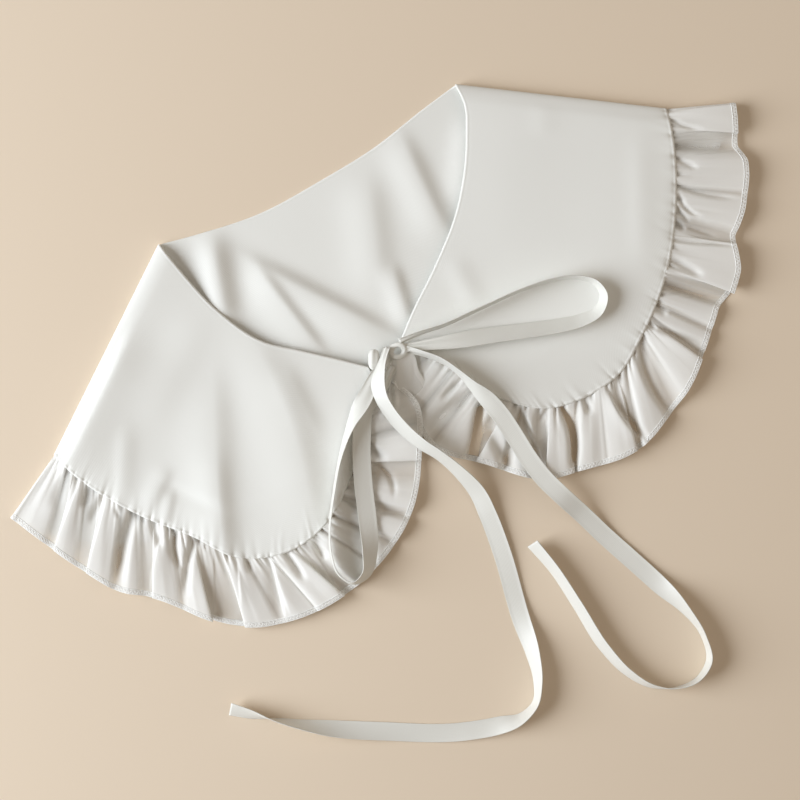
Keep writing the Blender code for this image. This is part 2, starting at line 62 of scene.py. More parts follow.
# How the layers lie on each other, in millimetres
SOLID_BODY_WALL = 1.2
REST_HEIGHT = SOLID_BODY_WALL / 2
FOLD_RADIUS = 3.2          # of the roll at each shoulder fold
FOLD_GAP = 0.6
FRONT_HEIGHT = 5.4         # of a front's middle surface over the back and its ruffle
FRONT_DROOP = 1.3          # how much lower the lobes hang beyond the back ruffle
DROOP_FROM_Y = -152.0
DROOP_TO_Y = -182.0
ROLL_REACH = 20.0          # how far from its fold a front comes down to that height
SOFT_ROLL = 10.0           # width of the front's own roll
ROLL_FADE = 4.0            # how close to the fold the other folds begin
NECK_BEAD = 0.08           # height of the bead behind a turned edge
SEAM_BEAD = 0.1
BEAD_AT = (0.6, 0.45)      # its distance from the edge, and its spread
GROOVE_AT = (1.7, 0.6)     # the same for the groove that the edge stitching pulls in
GROOVE_SHARE = 0.5
EDGE_ROUND = 0.9           # width and depth of the edge's own rounding
EDGE_FALL = 0.4
PUCKER_DEPTH = 0.3         # of the gathers where they pull at the panel
PUCKER_REACH = 26.0

# Small gathers: range of their depth, least reach and how much more at most as shares of the ruffle, range of
# their half width, how far they drift sideways, and how much they widen on the way
GATHER_DEPTH = (0.35, 1.0)
GATHER_REACH = (0.10, 0.45)
GATHER_HALF = (0.6, 1.5)
GATHER_DRIFT = 12.0
GATHER_WIDENS = 2.5
FRONT_GATHER = 0.5
BACK_GATHER = 0.4

# Folds of the ruffles
SEAM_GAP = -0.5            # the ruffle starts this far under the panel's edge
SEAM_STEP = 0.35           # how far its stitched edge is let down
CREST_BULGE = 1.1          # how much a fold swells between seam and hem
CREST_FULL = 4.0           # height over the seam at which it swells fully
CREST_RISE = 1.6           # how soon it rises from the seam
CREST_EDGE = 0.88          # height of a crest's two edges, as a share of its middle
TUCK_LIFT = 0.2            # how far tucked cloth stands above the hollow beside it
TUCK_LAYERS = 0.4          # how dense tucked cloth looks
SLACK = 0.8                # of the hem's smooth line; with 1 it overshoots between its points
ROLLED_HEM = ((0.12, 0.3), (1.3, 0.75))  # distance from the fold, and share of the way to its lying height
HEM_END = 1.5              # the last hollow's distance from the end of the hem
PINCH = 2.2                # how much deeper hollows are right beside the stitches
PINCH_REACH = 0.09
CREASE_SHEER = 0.24        # how much clearer a millimetre of crease makes the voile, and a gather
GATHER_SHEER = 0.3
PER_RAY = 60

# Ribbons
RIBBON_KNOTTED = 4.5       # width where the knot holds it
TAIL_OPENS = 22.0          # the length over which a tail opens to its full width
LOOP_OPENS = 40.0
SELVEDGE = 0.12            # height of the woven edge, and where it begins, as shares of the half width
SELVEDGE_AT = (0.78, 0.1)
GATHERED_FOLD = 0.5        # depth of the lengthwise folds at the knot

# Overlocked hem: how high its zigzags lie, how far they reach past the edge, points in a stitch, how much
# thicker the thread along the edge is, and how high the one along the stitches lies
OVERLOCK_LIFT = 0.14
OVERLOCK_PAST = 0.4
OVERLOCK_POINTS = 8
EDGE_THREAD = 1.5
STITCH_LIFT = 0.2

# Rows and columns of each surface
BACK_GRID = (240, 64)
FRONT_GRID = (440, 52)
BACK_RUFFLE_GRID = (520, 16)
FRONT_RUFFLE_GRID = (900, 44)
RIBBON_COLUMNS = 17
TAIL_ROWS = 340
LEFT_LOOP_ROWS = 250
RIGHT_LOOP_ROWS = 230
KNOT_GRID = (96, 40)
SEWN_GRID = (24, 40)
BUNCH_GRID = (28, 60)

# Where each run of uneven gathers starts its random draws
PANEL_SEEDS = {"left": 21, "right": 22}
RUFFLE_SEEDS = {"back": 3, "left": 11, "right": 12}

# Outlines, x and y
NAPE_LEFT = (-92.2, -1.0)
NAPE_RIGHT = (92.2, 1.0)
SHOULDER_LEFT = (-196.5, -76.5)
SHOULDER_RIGHT = (188.3, -64.5)
TIP_LEFT = (-233.5, -95.7)
TIP_RIGHT = (222.9, -78.9)
NAPE_EDGE = [NAPE_LEFT, (-70, -6), (-35, -11.5), (2, -11), (38, -8.5), (70, -2.5), NAPE_RIGHT]
BACK_SEAM = [SHOULDER_LEFT, (-180, -91), (-150, -107), (-110, -118), (-50, -123.5), (0, -124.5), (50, -122.5),
             (105, -113), (145, -97), (172, -79.5), SHOULDER_RIGHT]
BACK_HEM = [TIP_LEFT, (-215, -117), (-190, -134), (-160, -146), (-115, -156), (-55, -160.5), (0, -161),
            (55, -158.5), (108, -149), (155, -131), (185, -113), (207, -94), TIP_RIGHT]
LEFT_NECK = [NAPE_LEFT, (-88.8, -18.3), (-80.6, -48.7), (-66.8, -74.6), (-51.1, -88.4), (-32.7, -104.3),
             (-22.0, -114.0)]
LEFT_SEAM = [SHOULDER_LEFT, (-190.5, -93.5), (-170.7, -126.8), (-149.6, -151.6), (-133, -173.3),
             (-120.8, -179.7), (-103.9, -183), (-82.4, -178.8), (-53.5, -158), (-30.8, -132.6),
             (-21.5, -120.5)]
LEFT_HEM = [TIP_LEFT, (-210.1, -142.8), (-199.9, -158.7), (-185.4, -170.1), (-158.4, -200.4),
            (-145.8, -209.5), (-124.8, -216.8), (-91.4, -218.2), (-66.1, -211.6), (-37.3, -194.5),
            (-17.5, -167.6), (-7.2, -141.9), (-13.0, -126.5)]
RIGHT_NECK = [NAPE_RIGHT, (91.4, -11.1), (84.7, -26.2), (60.2, -61.1), (36.1, -82), (12.9, -99),
              (2.0, -108.0)]
RIGHT_SEAM = [SHOULDER_RIGHT, (183.5, -80.6), (169.6, -110.6), (150.1, -139.4), (119, -167.8), (97.8, -180.9),
              (79.1, -183.5), (53.6, -178.8), (33.5, -161.4), (18.1, -134.1), (3.0, -115.0)]
RIGHT_HEM = [TIP_RIGHT, (219.3, -88.1), (216.2, -94.6), (211.8, -95.9), (215.3, -104), (212.9, -113.3),
             (205.5, -126.2), (196.7, -137.1), (188.4, -144.6), (186.3, -154), (180.4, -164.6),
             (173.1, -171.3), (166.5, -172.2), (156.2, -181.1), (142.7, -193.8), (130.4, -204.2),
             (111.8, -213.7), (90.4, -222), (52.1, -217.2), (37.2, -213.7), (10.3, -190.3),
             (-11.6, -166.9), (-9.1, -140.9), (-3.5, -125.5)]

# Long soft folds in the panels: from x0, y0 to x1, y1, how far they bow to their left in between, their
# height, and how far they spread to the left and to the right
BACK_RELIEF = [
    (-66, -12, -80, -56, 0, 4.6, 8, 10),
    (-51, -39, -41, -95, 0, 2.4, 4, 16),
    (-53, -32, -3, -104, 0, 3.4, 5, 14),
    (25, -22, 3, -80, 0, 2.0, 9, 14),
    (15, -72, 9, -102, 0, 2.0, 4, 7),
    (52, -11, 49, -69, 0, 2.6, 6, 12),
    (91, -19, 66, -56, 0, 2.0, 8, 8),
]
LEFT_RELIEF = [
    (-143, -28, -208, -78, 0, 4.6, 44, 8),
    (-100, -78, -142, -171, 0, 2.0, 9, 18),
    (-119, -118, -141, -171, 0, 1.4, 6, 12),
    (-72, -76, -94, -186, 7, 2.6, 10, 20),
    (-63, -94, -64, -134, 0, 1.0, 6, 10),
    (-21, -117, -59, -149, 0, 0.5, 8, 12),
    (-155, -83, -177, -118, 0, 0.7, 6, 5),
    (-146, -113, -165, -127, 0, 1.1, 4, 6),
    (-153, -116, -130, -146, 0, -0.7, 3, 5),
    (-149, -124, -161, -139, 0, 0.8, 3, 4),
    (-91, -47, -142, -84, 0, 1.0, 12, 14),
]
RIGHT_RELIEF = [
    (131, -31, 121, -45, 0, 0.3, 7, 6),
    (167, -72, 137, -132, 0, 0.5, 8, 6),
    (135, -154, 140, -171, 0, -0.6, 2.5, 2.5),
    (113, -25, 75, -95, 0, 0.9, 30, 26),
    (184, -76, 120, -178, 0, 3.4, 16, 60),
    (46, -84, 46, -111, 0, 0.8, 7, 7),
]

# Creases in the front ruffles, in the same columns: crisp crest edges first, then the hollows between crests
LEFT_CREASES = [
    (-192, -98, -221, -122, 0, 0.7, 5, 0.9),
    (-184, -114, -209, -140, 0, 0.7, 6, 0.9),
    (-161, -141, -185, -169, -2, 0.8, 6, 0.9),
    (-145, -165, -160, -194, 0, 0.7, 0.8, 6),
    (-134, -175, -143, -196, 0, 0.7, 6, 0.9),
    (-118, -181, -122, -213, 0, 0.7, 5, 0.9),
    (-96, -183, -94, -218, 0, 0.8, 0.8, 6),
    (-195, -86, -209, -101, 0, -1.6, 3, 4),
    (-187, -101, -195, -109, 0, -1.8, 2.2, 2.2),
    (-184, -109, -195, -118, 0, -1.4, 2, 2),
    (-180, -118, -181, -123, 0, -1.0, 1.2, 1.2),
    (-172, -124, -196, -151, -1.5, -3.6, 3, 2.6),
    (-166, -134, -168, -147, 0, -2.0, 2.2, 2),
    (-155, -144, -164, -162, -3, -2.8, 2, 1.8),
    (-149, -152, -167, -175, -1.5, -3.2, 2.2, 2),
    (-146, -158, -147, -161, 0, -1.0, 1, 1),
    (-130, -177, -131, -183, 0, -1.6, 1.6, 1.6),
    (-119, -183, -126, -211, 0, -2.4, 1.0, 4.5),
    (-109, -181, -107, -199, 0, -2.6, 1.8, 2),
    (-93, -184, -92, -195, 0, -2.5, 3, 1),
    (-43, -151, -38, -163, 0, -2.5, 2.5, 2.5),
    (-44, -162, -41, -181, 3, -2.0, 1.6, 1.6),
    (-53, -187, -42, -195, 0, -1.5, 1.5, 1.5),
    (-69, -171, -62, -180, 0, -1.5, 1.5, 1.5),
    (-11, -124, -19, -141, 0, 1.6, 1.2, 1.6),
    (-15, -122, -25, -137, 0, -1.4, 1.2, 1.2),
    (-17, -129, -28, -142, 0, 1.2, 1.3, 1.6),
]
RIGHT_CREASES = [
    (186, -82, 212, -94, 0, 1.0, 4, 0.8),
    (188, -94, 216, -105, 0, 1.0, 0.8, 5),
    (145, -146, 170, -170, 0, 1.2, 4, 0.8),
    (132, -173, 143, -194, 0, 1.2, 0.8, 5),
    (43, -172, 37, -214, 1, 1.4, 5, 0.8),
    (88, -184, 94, -220, -2, 1.2, 0.8, 5),
    (187, -70, 199, -83, -1, -1.2, 1.2, 1.2),
    (183, -85, 211, -99, 0, -1.6, 2.4, 2.4),
    (179, -91, 187, -100, 0, -1.6, 1.5, 1.5),
    (175, -106, 197, -124, -1, -1.5, 1.4, 1.4),
    (172, -109, 176, -124, -2, -1.5, 1.2, 1.2),
    (167, -113, 170, -124, 0, -1.6, 1.2, 1.2),
    (162, -121, 166, -127, 0, -2.2, 1.5, 1.5),
    (168, -127, 179, -138, 0, -1.0, 1.2, 1.2),
    (158, -130, 185, -147, 0, -1.8, 1.2, 1.2),
    (153, -140, 162, -153, 0, -2.2, 2, 2),
    (142, -149, 165, -172, 0, -2.4, 2, 2),
    (136, -152, 148, -157, 0, -1.0, 1, 1),
    (131, -156, 136, -163, 0, -2.2, 1.8, 1.8),
    (124, -162, 127, -168, 0, -2.2, 1.8, 1.8),
    (126, -166, 145, -187, 0, -1.6, 2, 2),
    (117, -170, 113, -212, -4, -3.6, 3, 2.2),
    (98, -179, 93, -214, -4, -3.2, 2.2, 2.2),
    (89, -186, 94, -219, -2, -2.4, 2, 1),
    (75, -182, 74, -192, 0, -2.6, 2, 2),
    (62, -181, 53, -212, 3, -3.4, 2.6, 2.6),
    (54, -180, 48, -183, 0, -1.5, 1.2, 1.2),
    (41, -172, 36, -208, 0, -3.2, 1.2, 5),
    (21, -174, 21, -199, 0, -3.2, 3.4, 3.4),
    (24, -160, 3, -188, 0, -3.4, 3, 3),
    (19, -144, 6, -148, 0, -2, 2, 2),
    (21, -152, -7, -158, 0, -2.4, 4, 4),
]

# Where the cloth parts between two crests so that the floor shows, in the same columns
RIGHT_GAPS = [
    (25, -158, 3, -188, 0, 3.0, 2.1, 2.1),
    (62, -182, 53, -212, 3, 2.6, 1.7, 1.7),
]

# Ruffle folds, a row for each crest, counted from the shoulder: its place along the seam and along the hem,
# its half width and height at the hem, how far the cloth tucks in under its shoulder side and under its
# front side, and the height of the hollow that follows it
LEFT_FOLDS = [
    (6, 12, 9.0, 5.6, 0.0, 0.0, 3.6),
    (21, 35, 5.5, 6.0, 4.0, 0.0, 4.0),
    (42, 58, 7.0, 6.4, 5.0, 0.0, 4.4),
    (57, 77, 4.0, 5.2, 0.0, 0.0, 3.0),
    (75, 98, 7.5, 6.8, 6.0, 0.0, 5.4),
    (90, 119, 7.0, 6.8, 0.0, 4.5, 0.7),
    (121, 152, 8.0, 5.6, 2.0, 0.0, 4.6),
    (136, 176, 8.0, 5.6, 0.0, 0.0, 4.8),
    (151, 194, 8.0, 7.0, 0.0, 4.0, 1.2),
    (170, 218, 6.0, 5.6, 0.0, 0.0, 3.6),
    (181, 233, 5.0, 5.6, 0.0, 0.0, 3.2),
    (192, 250, 5.0, 6.6, 0.0, 0.0, 3.0),
    (205, 268, 5.0, 7.0, 0.0, 0.0, 4.6),
    (224, 298, 8.0, 8.4, 2.0, 0.0, 6.6),
    (243, 322, 5.0, 8.0, 0.0, 0.0, 6.6),
]
RIGHT_FOLDS = [
    (6, 9, 8.0, 8.0, 0.0, 3.0, 4.0),
    (38, 45, 8.0, 7.6, 0.0, 0.0, 6.0),
    (55, 66, 8.0, 7.6, 0.0, 0.0, 4.6),
    (84, 98, 14.0, 8.2, 3.0, 4.0, 1.2),
    (109, 128, 5.0, 5.4, 0.0, 0.0, 3.6),
    (119, 143, 4.5, 5.8, 0.0, 0.0, 3.2),
    (127, 163, 10.0, 8.2, 3.0, 0.0, 3.2),
    (145, 202, 8.0, 7.2, 0.0, 0.0, 3.2),
    (166, 223, 8.0, 7.6, 2.0, 0.0, 6.2),
    (179, 242, 7.0, 6.8, 0.0, 0.0, 2.6),
    (200, 260, 8.0, 7.8, 0.0, 5.0, 0.7),
    (215, 282, 5.0, 6.2, 0.0, 0.0, 2.4),
    (223, 301, 6.0, 6.8, 0.0, 2.0, 0.6),
    (237, 323, 7.0, 5.0, 0.0, 0.0, 4.2),
    (256, 343, 5.0, 4.9, 0.0, 0.0, 4.2),
    (270, 360, 4.0, 4.9, 0.0, 0.0, 4.3),
]
BACK_FOLDS = 15
BACK_FOLD_HALF = 8.5
BACK_FOLD_HEIGHT = 2.3
BACK_FOLD_DIP = 0.5

# Ribbons: x, y, the height of the ribbon's lower edge, and its roll, from 0 flat to 90 on edge
LEFT_TAIL = [
    (-7.9, -108.9, 8.4, 40), (-12.4, -113.4, 10.0, 52), (-17.4, -119.0, 10.8, 48), (-21.6, -125.2, 11.0, 42),
    (-23.2, -132.0, 10.6, 46), (-23.0, -139.6, 9.8, 48), (-22.0, -146.1, 9.3, 48), (-15.7, -164.1, 9.0, 54),
    (-9.4, -175.3, 8.0, 58), (-4.6, -187.0, 5.2, 50), (-0.8, -203.0, 1.5, 30), (-1.4, -216.3, 0.6, 16),
    (-3.9, -236.2, 0.2, 10), (-11.8, -274.9, 0.1, 12), (-14.8, -294.0, 0.1, 42), (-19.6, -309.5, 0.1, 65),
    (-26.5, -319.6, 0.1, 75), (-36.5, -323.2, 0.1, 65), (-50.0, -321.2, 0.1, 25), (-68.5, -315.4, 0.1, 8),
    (-108.0, -294.5, 0.1, 8), (-131.0, -280.5, 0.1, 35), (-145.0, -270.5, 0.1, 66), (-157.0, -261.0, 0.1, 90),
    (-167.2, -252.5, 0.1, 125), (-176.2, -244.6, 0.1, 140),
]
RIGHT_TAIL = [
    (-0.6, -113.6, 7.2, 30), (6.4, -119.8, 6.9, 66), (15.3, -129.4, 6.8, 76), (20.6, -139.5, 6.8, 76),
    (24.0, -149.4, 7.0, 60), (27.5, -159.5, 7.4, 26), (29.9, -170.0, 7.7, 8), (31.2, -182.0, 7.8, 5),
    (32.3, -197.6, 8.8, 5), (34.5, -211.0, 9.1, 5), (39.0, -225.0, 8.2, 8), (44.6, -240.0, 3.0, 8),
    (50.4, -257.0, 0.3, 5), (56.4, -272.9, 0.1, 5), (63.8, -292.9, 0.1, 15), (69.9, -311.0, 0.1, 60),
    (72.4, -329.0, 0.1, 80), (68.6, -343.2, 0.1, 80), (58.2, -349.2, 0.1, 86), (45.6, -347.8, 0.1, 94),
    (34.6, -341.0, 0.1, 106), (26.2, -328.0, 0.1, 116), (21.2, -310.3, 0.1, 122), (18.9, -282.0, 0.1, 121),
    (16.6, -259.0, 0.1, 121), (12.7, -241.2, 0.1, 128),
]
RIGHT_LOOP = [
    (-0.4, -109.6, 8.4, 45), (12.0, -110.6, 8.2, 70), (23.2, -112.5, 7.4, 78), (47.3, -114.0, 7.2, 82),
    (71.4, -115.5, 7.3, 83), (88.0, -118.2, 7.0, 83), (101.0, -123.2, 6.8, 80), (109.0, -131.0, 6.7, 74),
    (109.6, -138.8, 6.8, 66), (103.4, -144.8, 7.0, 55), (93.4, -145.4, 7.1, 45), (81.6, -142.6, 7.1, 40),
    (60.9, -135.4, 7.3, 35), (40.4, -128.0, 8.0, 30), (24.0, -122.4, 9.4, 20), (0.4, -113.6, 8.9, 8),
]
LEFT_LOOP = [
    (-7.4, -113.6, 7.2, 0), (-20.2, -119.4, 8.6, 2), (-30.0, -126.8, 9.1, 10), (-43.4, -136.3, 7.4, 58),
    (-57.0, -149.2, 6.6, 78), (-70.1, -165.8, 6.6, 82), (-80.5, -180.9, 6.6, 83), (-87.0, -195.0, 6.8, 83),
    (-88.6, -206.4, 6.6, 82), (-83.6, -214.4, 6.8, 78), (-75.4, -213.2, 6.9, 62), (-68.0, -203.6, 7.4, 38),
    (-61.4, -188.6, 7.8, 12), (-52.8, -166.4, 8.0, 8), (-43.6, -147.4, 7.8, 8), (-33.6, -133.2, 7.7, 6),
    (-22.8, -129.0, 7.8, 2), (-9.6, -119.6, 7.7, 0),
]

# The knot
KNOT_X = -3.6
KNOT_Y = -113.6
KNOT_Z = 8.9
KNOT_RING = 3.6
KNOT_STRAND = 1.6
KNOT_TILT = 0.18
KNOT_SWELL = (0.10, 0.06)
KNOT_RIPPLE = 0.04

# The ruffles' gathered ends under the knot: the two ends of their top and of their foot, how deep they pleat,
# how high they belly, how far their foot hangs, and how dense their top and foot look
BUNCH_TOP = ((-10.6, -115.6, 7.2), (3.4, -116.4, 7.2))
BUNCH_FOOT = ((-23.6, -143.0, 4.2), (1.4, -137.0, 3.8))
BUNCH_PLEAT = 0.55
BUNCH_BELLY = 1.4
BUNCH_HANG = 2.2
BUNCH_LAYERS = (0.9, 0.4)

# Where the left tie is sewn on: the two ends of its gathered roll, x, y and z, and its radius
SEWN_FROM = (-14.4, -106.6, 7.2)
SEWN_TO = (-19.9, -116.9, 7.6)
SEWN_RADIUS = 3.1
SEWN_FLUTE = 0.10

# Voile: how much of it shows where it gapes, where it lies in layers and in its hem, the depth of that hem in
# metres with the soft line beyond it, and how much of its light comes through from behind
VOILE_GAPING = -0.1
VOILE_LAYERED = 0.95
VOILE_HEM = 0.86
HEM_BAND = (0.0024, 0.0032)
TRANSLUCENT = 0.16

# Scales of the woven patterns: about 0.7 to 0.85 mm between ribs, coarser than real so that they show, and
# the height in metres of the relief that they make
SATIN_RIB = 520.0
VOILE_WEAVE = 1500.0
RIBBON_RIB = 420.0
THREAD_PLY = 600.0
RELIEF_DEPTH = 0.0002

# Lights: their place to the right of the picture's middle, up the picture and above the floor, and their
# size, in metres, then their power in watts and their colour. The sky's light comes from all round.
LIGHTS = {
    "key": ((-1.60, -0.15, 0.85), 1.5, 47.0, "#F0F7FF"),
    "fill": ((1.2, 0.3, 1.3), 1.8, 5.5, "#FFF6EC"),
}
SKY_COLOUR = "#FFEDD8"
SKY_STRENGTH = 0.235
FLOOR_HALF = 4

# The photograph's frame: the plan point at its centre, how far it is turned, and its width on the floor
VIEW_X = -14.9
VIEW_Y = -137.8
VIEW_TURN = -27.7
VIEW_WIDTH = 440.0
CAMERA_HEIGHT = 1.1


def linear(code):
    """An sRGB hex colour as linear red, green and blue."""
    shares = [int(code[i:i + 2], 16) / 255 for i in (1, 3, 5)]
    return tuple(c / 12.92 if c <= 0.04045 else ((c + 0.055) / 1.055) ** 2.4 for c in shares)


def size(name, text, millimetres):
    """A length property, stored in metres."""
    return FloatProperty(name=name, description=text, default=millimetres * MM, min=0.0, subtype="DISTANCE",
                         unit="LENGTH", precision=5)


def colour(name, text, code):
    """A colour property with its default as a hex value."""
    return FloatVectorProperty(name=name, description=text, default=linear(code), min=0.0, max=1.0,
                               subtype="COLOR", size=3)


class ClothSizes(PropertyGroup):
    """Walls, widths and stitch sizes."""
    body_wall: size("Body wall", "Two layers of satin and the turned edge between them", 0.9)
    voile_wall: size("Voile wall", "The ruffle's single layer", 0.3)
    ribbon_wall: size("Ribbon wall", "Thickness of the ribbon", 0.45)
    ribbon_width: size("Ribbon width", "Width of the ribbon where it lies open", 10.0)
    gather_spacing: size("Gather spacing", "Mean distance between the small gathers along the seam", 3.4)
    overlock_width: size("Overlock width", "Width of the overlocked band at the hem", 2.4)
    overlock_pitch: size("Overlock pitch", "Length of one overlock stitch", 2.0)
    thread: size("Thread", "Radius of the sewing thread, drawn a little thick so that it shows", 0.2)


class ClothColours(PropertyGroup):
    """Colours of the cloth, the thread and the floor."""
    satin: colour("Satin", "White polyester satin of the panels", "#EFEFEA")
    voile: colour("Voile", "White voile of the ruffle", "#FBFAF6")
    voile_glow: colour("Voile glow", "The warmer light that comes through the voile", "#FFFCF4")
    ribbon: colour("Ribbon", "White satin ribbon", "#E2E1DA")
    thread: colour("Thread", "White polyester overlock thread", "#FFFFFC")
    floor: colour("Floor", "Pale card under the collar", "#E6D5BF")


def smooth(points, count=600):
    """A smooth curve through the points: cubic pieces, each point's slope set by its neighbours."""
    p = np.asarray(points, float)
    step = np.linalg.norm(np.diff(p[:, :2], axis=0), axis=1)
    knot = np.concatenate([[0.0], np.cumsum(step)])
    slope = np.gradient(p, knot, axis=0)
    t = np.linspace(0.0, knot[-1], count)
    k = np.clip(np.searchsorted(knot, t, side="right") - 1, 0, len(step) - 1)
    h = step[k][:, None]
    u = ((t - knot[k]) / step[k])[:, None]
    ends = (2 * u**3 - 3 * u**2 + 1) * p[k] + (3 * u**2 - 2 * u**3) * p[k + 1]
    return ends + h * ((u**3 - 2 * u**2 + u) * slope[k] + (u**3 - u**2) * slope[k + 1])


def smooth_3d(points, share):
    """A smooth line through points in space, at shares of its run, eased so that it doesn't overshoot."""
    run = lengths(points)
    slope = np.gradient(points, run, axis=0)
    t = share * run[-1]
    k = np.clip(np.searchsorted(run, t, side="right") - 1, 0, len(run) - 2)
    h = (run[k + 1] - run[k])[:, None]
    u = ((t - run[k]) / (run[k + 1] - run[k]))[:, None]
    ends = (2 * u**3 - 3 * u**2 + 1) * points[k] + (3 * u**2 - 2 * u**3) * points[k + 1]
    return ends + SLACK * h * ((u**3 - 2 * u**2 + u) * slope[k] + (u**3 - u**2) * slope[k + 1])


def lengths(line):
    """Distance travelled along a line of points, from its start to each point."""
    return np.concatenate([[0.0], np.cumsum(np.linalg.norm(np.diff(line, axis=0), axis=1))])


def sample(line, at):
    """Points of a line at the given distances along it."""
    run = lengths(line)
    return np.stack([np.interp(at, run, line[:, i]) for i in range(line.shape[1])], axis=-1)


def unit(vectors):
    """The vectors, each with length 1."""
    return vectors / np.maximum(np.linalg.norm(vectors, axis=-1, keepdims=True), 1e-9)


def normals(grid):
    """Unit normals of a grid of points, turned to point upwards: the cross product of its two directions."""
    n = unit(np.cross(np.gradient(grid, axis=0), np.gradient(grid, axis=1)))
    return n * np.sign(np.median(n[..., 2]))


def relief(x, y, rows):
    """The sum of long soft folds. Each follows a shallow bow from one point to another and fades at its ends.
    To either side it falls away as a bell curve, steeper where its spread is less."""
    z = np.zeros_like(x)
    for x0, y0, x1, y1, bow, height, left, right in rows:
        ax, ay = x1 - x0, y1 - y0
        run = np.hypot(ax, ay)
        u = 2.0 * ((x - x0) * ax + (y - y0) * ay) / run**2 - 1.0
        side = ((x0 - x) * ay + (y - y0) * ax) / run - bow * (1.0 - u * u)
        spread = np.where(side > 0, left, right)
        z += height * np.exp(-((side / spread) ** 2) - u**4)
    return z


def from_fold(x, y, nape, shoulder):
    """Distance in plan from the shoulder fold, which is a straight line."""
    ax, ay = shoulder[0] - nape[0], shoulder[1] - nape[1]
    return np.abs((x - nape[0]) * ay - (y - nape[1]) * ax) / np.hypot(ax, ay)


def fold_drop(d, reach=FOLD_RADIUS):
    """How far a quarter roll falls at distance d from its fold: its radius there, nothing past its reach."""
    inside = np.clip(reach - d, 0.0, reach) / reach
    return (FOLD_RADIUS - FOLD_GAP / 2) * (1.0 - np.sqrt(1.0 - inside**2))


def roll_stations(length, ends, count):
    """Distances along an edge: close together where the roll at one end or both turns the cloth."""
    turn = FOLD_RADIUS * 1.6 * np.linspace(0.0, 1.0, 15)[:-1] ** 1.6
    inner = np.linspace(1.6 * FOLD_RADIUS, length - 1.6 * FOLD_RADIUS * (ends - 1), count)
    last = (length - turn)[::-1] if ends == 2 else np.array([])
    return np.concatenate([turn, inner, last])


EDGE_STEPS = np.array([0.0, 0.12, 0.3, 0.55, 0.85, 1.2, 1.6, 2.0, 2.5, 3.1, 3.8])


def ruled(neck, seam, ends, count, across):
    """Points in plan between two edges, joined by straight rulings, and their distances from the two edges.
    The points lie close together near both edges, where the cloth is turned."""
    neck_line, seam_line = smooth(neck), smooth(seam)
    a = sample(neck_line, roll_stations(lengths(neck_line)[-1], ends, count))
    b = sample(seam_line, roll_stations(lengths(seam_line)[-1], ends, count))
    width = np.linalg.norm(b - a, axis=1)[:, None]
    inner = EDGE_STEPS[-1] + (width - 2 * EDGE_STEPS[-1]) * np.linspace(0.0, 1.0, across)[None, 1:-1]
    near = np.broadcast_to(EDGE_STEPS, (len(a), len(EDGE_STEPS)))
    reach = np.hstack([near, inner, width - near[:, ::-1]])
    v = (reach / width)[..., None]
    return a[:, None, :] * (1 - v) + b[:, None, :] * v, reach, width - reach


def edge_profile(d, bead):
    """Height of the turned edge at distance d from it: it rounds down at the edge, with a low bead behind and
    a groove behind that, each a bell curve."""
    outer = np.clip(1.0 - d / EDGE_ROUND, 0.0, 1.0)
    raised = np.exp(-(((d - BEAD_AT[0]) / BEAD_AT[1]) ** 2))
    pulled = np.exp(-(((d - GROOVE_AT[0]) / GROOVE_AT[1]) ** 2))
    return bead * (raised - GROOVE_SHARE * pulled) - EDGE_FALL * outer**2


def front_panel(neck, seam, nape, shoulder, folds, spacing, seed):
    """A front's middle surface: it rolls over at the shoulder, then lies on the back and on its ruffle. Its
    seam is puckered by the gathers that are sewn to it."""
    plan, from_neck, from_seam = ruled(neck, seam, 1, *FRONT_GRID)
    x, y = plan[..., 0], plan[..., 1]
    d = from_fold(x, y, nape, shoulder)
    top = REST_HEIGHT + 2 * FOLD_RADIUS
    past = np.clip(d - FOLD_RADIUS, 0.0, None)
    free = 1.0 - np.exp(-((past / ROLL_REACH) ** 2))
    droop = FRONT_DROOP * np.clip((DROOP_FROM_Y - y) / (DROOP_FROM_Y - DROOP_TO_Y), 0.0, 1.0)
    clear = 1.0 - np.exp(-((past / ROLL_FADE) ** 2))
    z = top - fold_drop(d, SOFT_ROLL) - droop + (FRONT_HEIGHT - top) * free + relief(x, y, folds) * clear
    z = z + edge_profile(from_neck, NECK_BEAD) + edge_profile(from_seam, SEAM_BEAD)
    on_seam = lengths(plan[:, -1])
    z = z + PUCKER_DEPTH * gathers(on_seam, from_seam / PUCKER_REACH, spacing, seed)
    return np.dstack([x, y, z])


def back_panel():
    """The back's middle surface: flat on the surface but for its folds, and rolled up at both shoulders."""
    plan, from_neck, _ = ruled(NAPE_EDGE, BACK_SEAM, 2, *BACK_GRID)
    x, y = plan[..., 0], plan[..., 1]
    left = from_fold(x, y, NAPE_LEFT, SHOULDER_LEFT)
    right = from_fold(x, y, NAPE_RIGHT, SHOULDER_RIGHT)
    z = REST_HEIGHT + fold_drop(np.minimum(left, right)) + relief(x, y, BACK_RELIEF)
    return np.dstack([x, y, z + edge_profile(from_neck, NECK_BEAD)])


def rolled_end(edge_z, lying_z):
    """Points of the hem where it leaves a shoulder fold: straight up or down at first, then level."""
    return [(at, edge_z + share * (lying_z - edge_z), None, 1.0) for at, share in ROLLED_HEM]


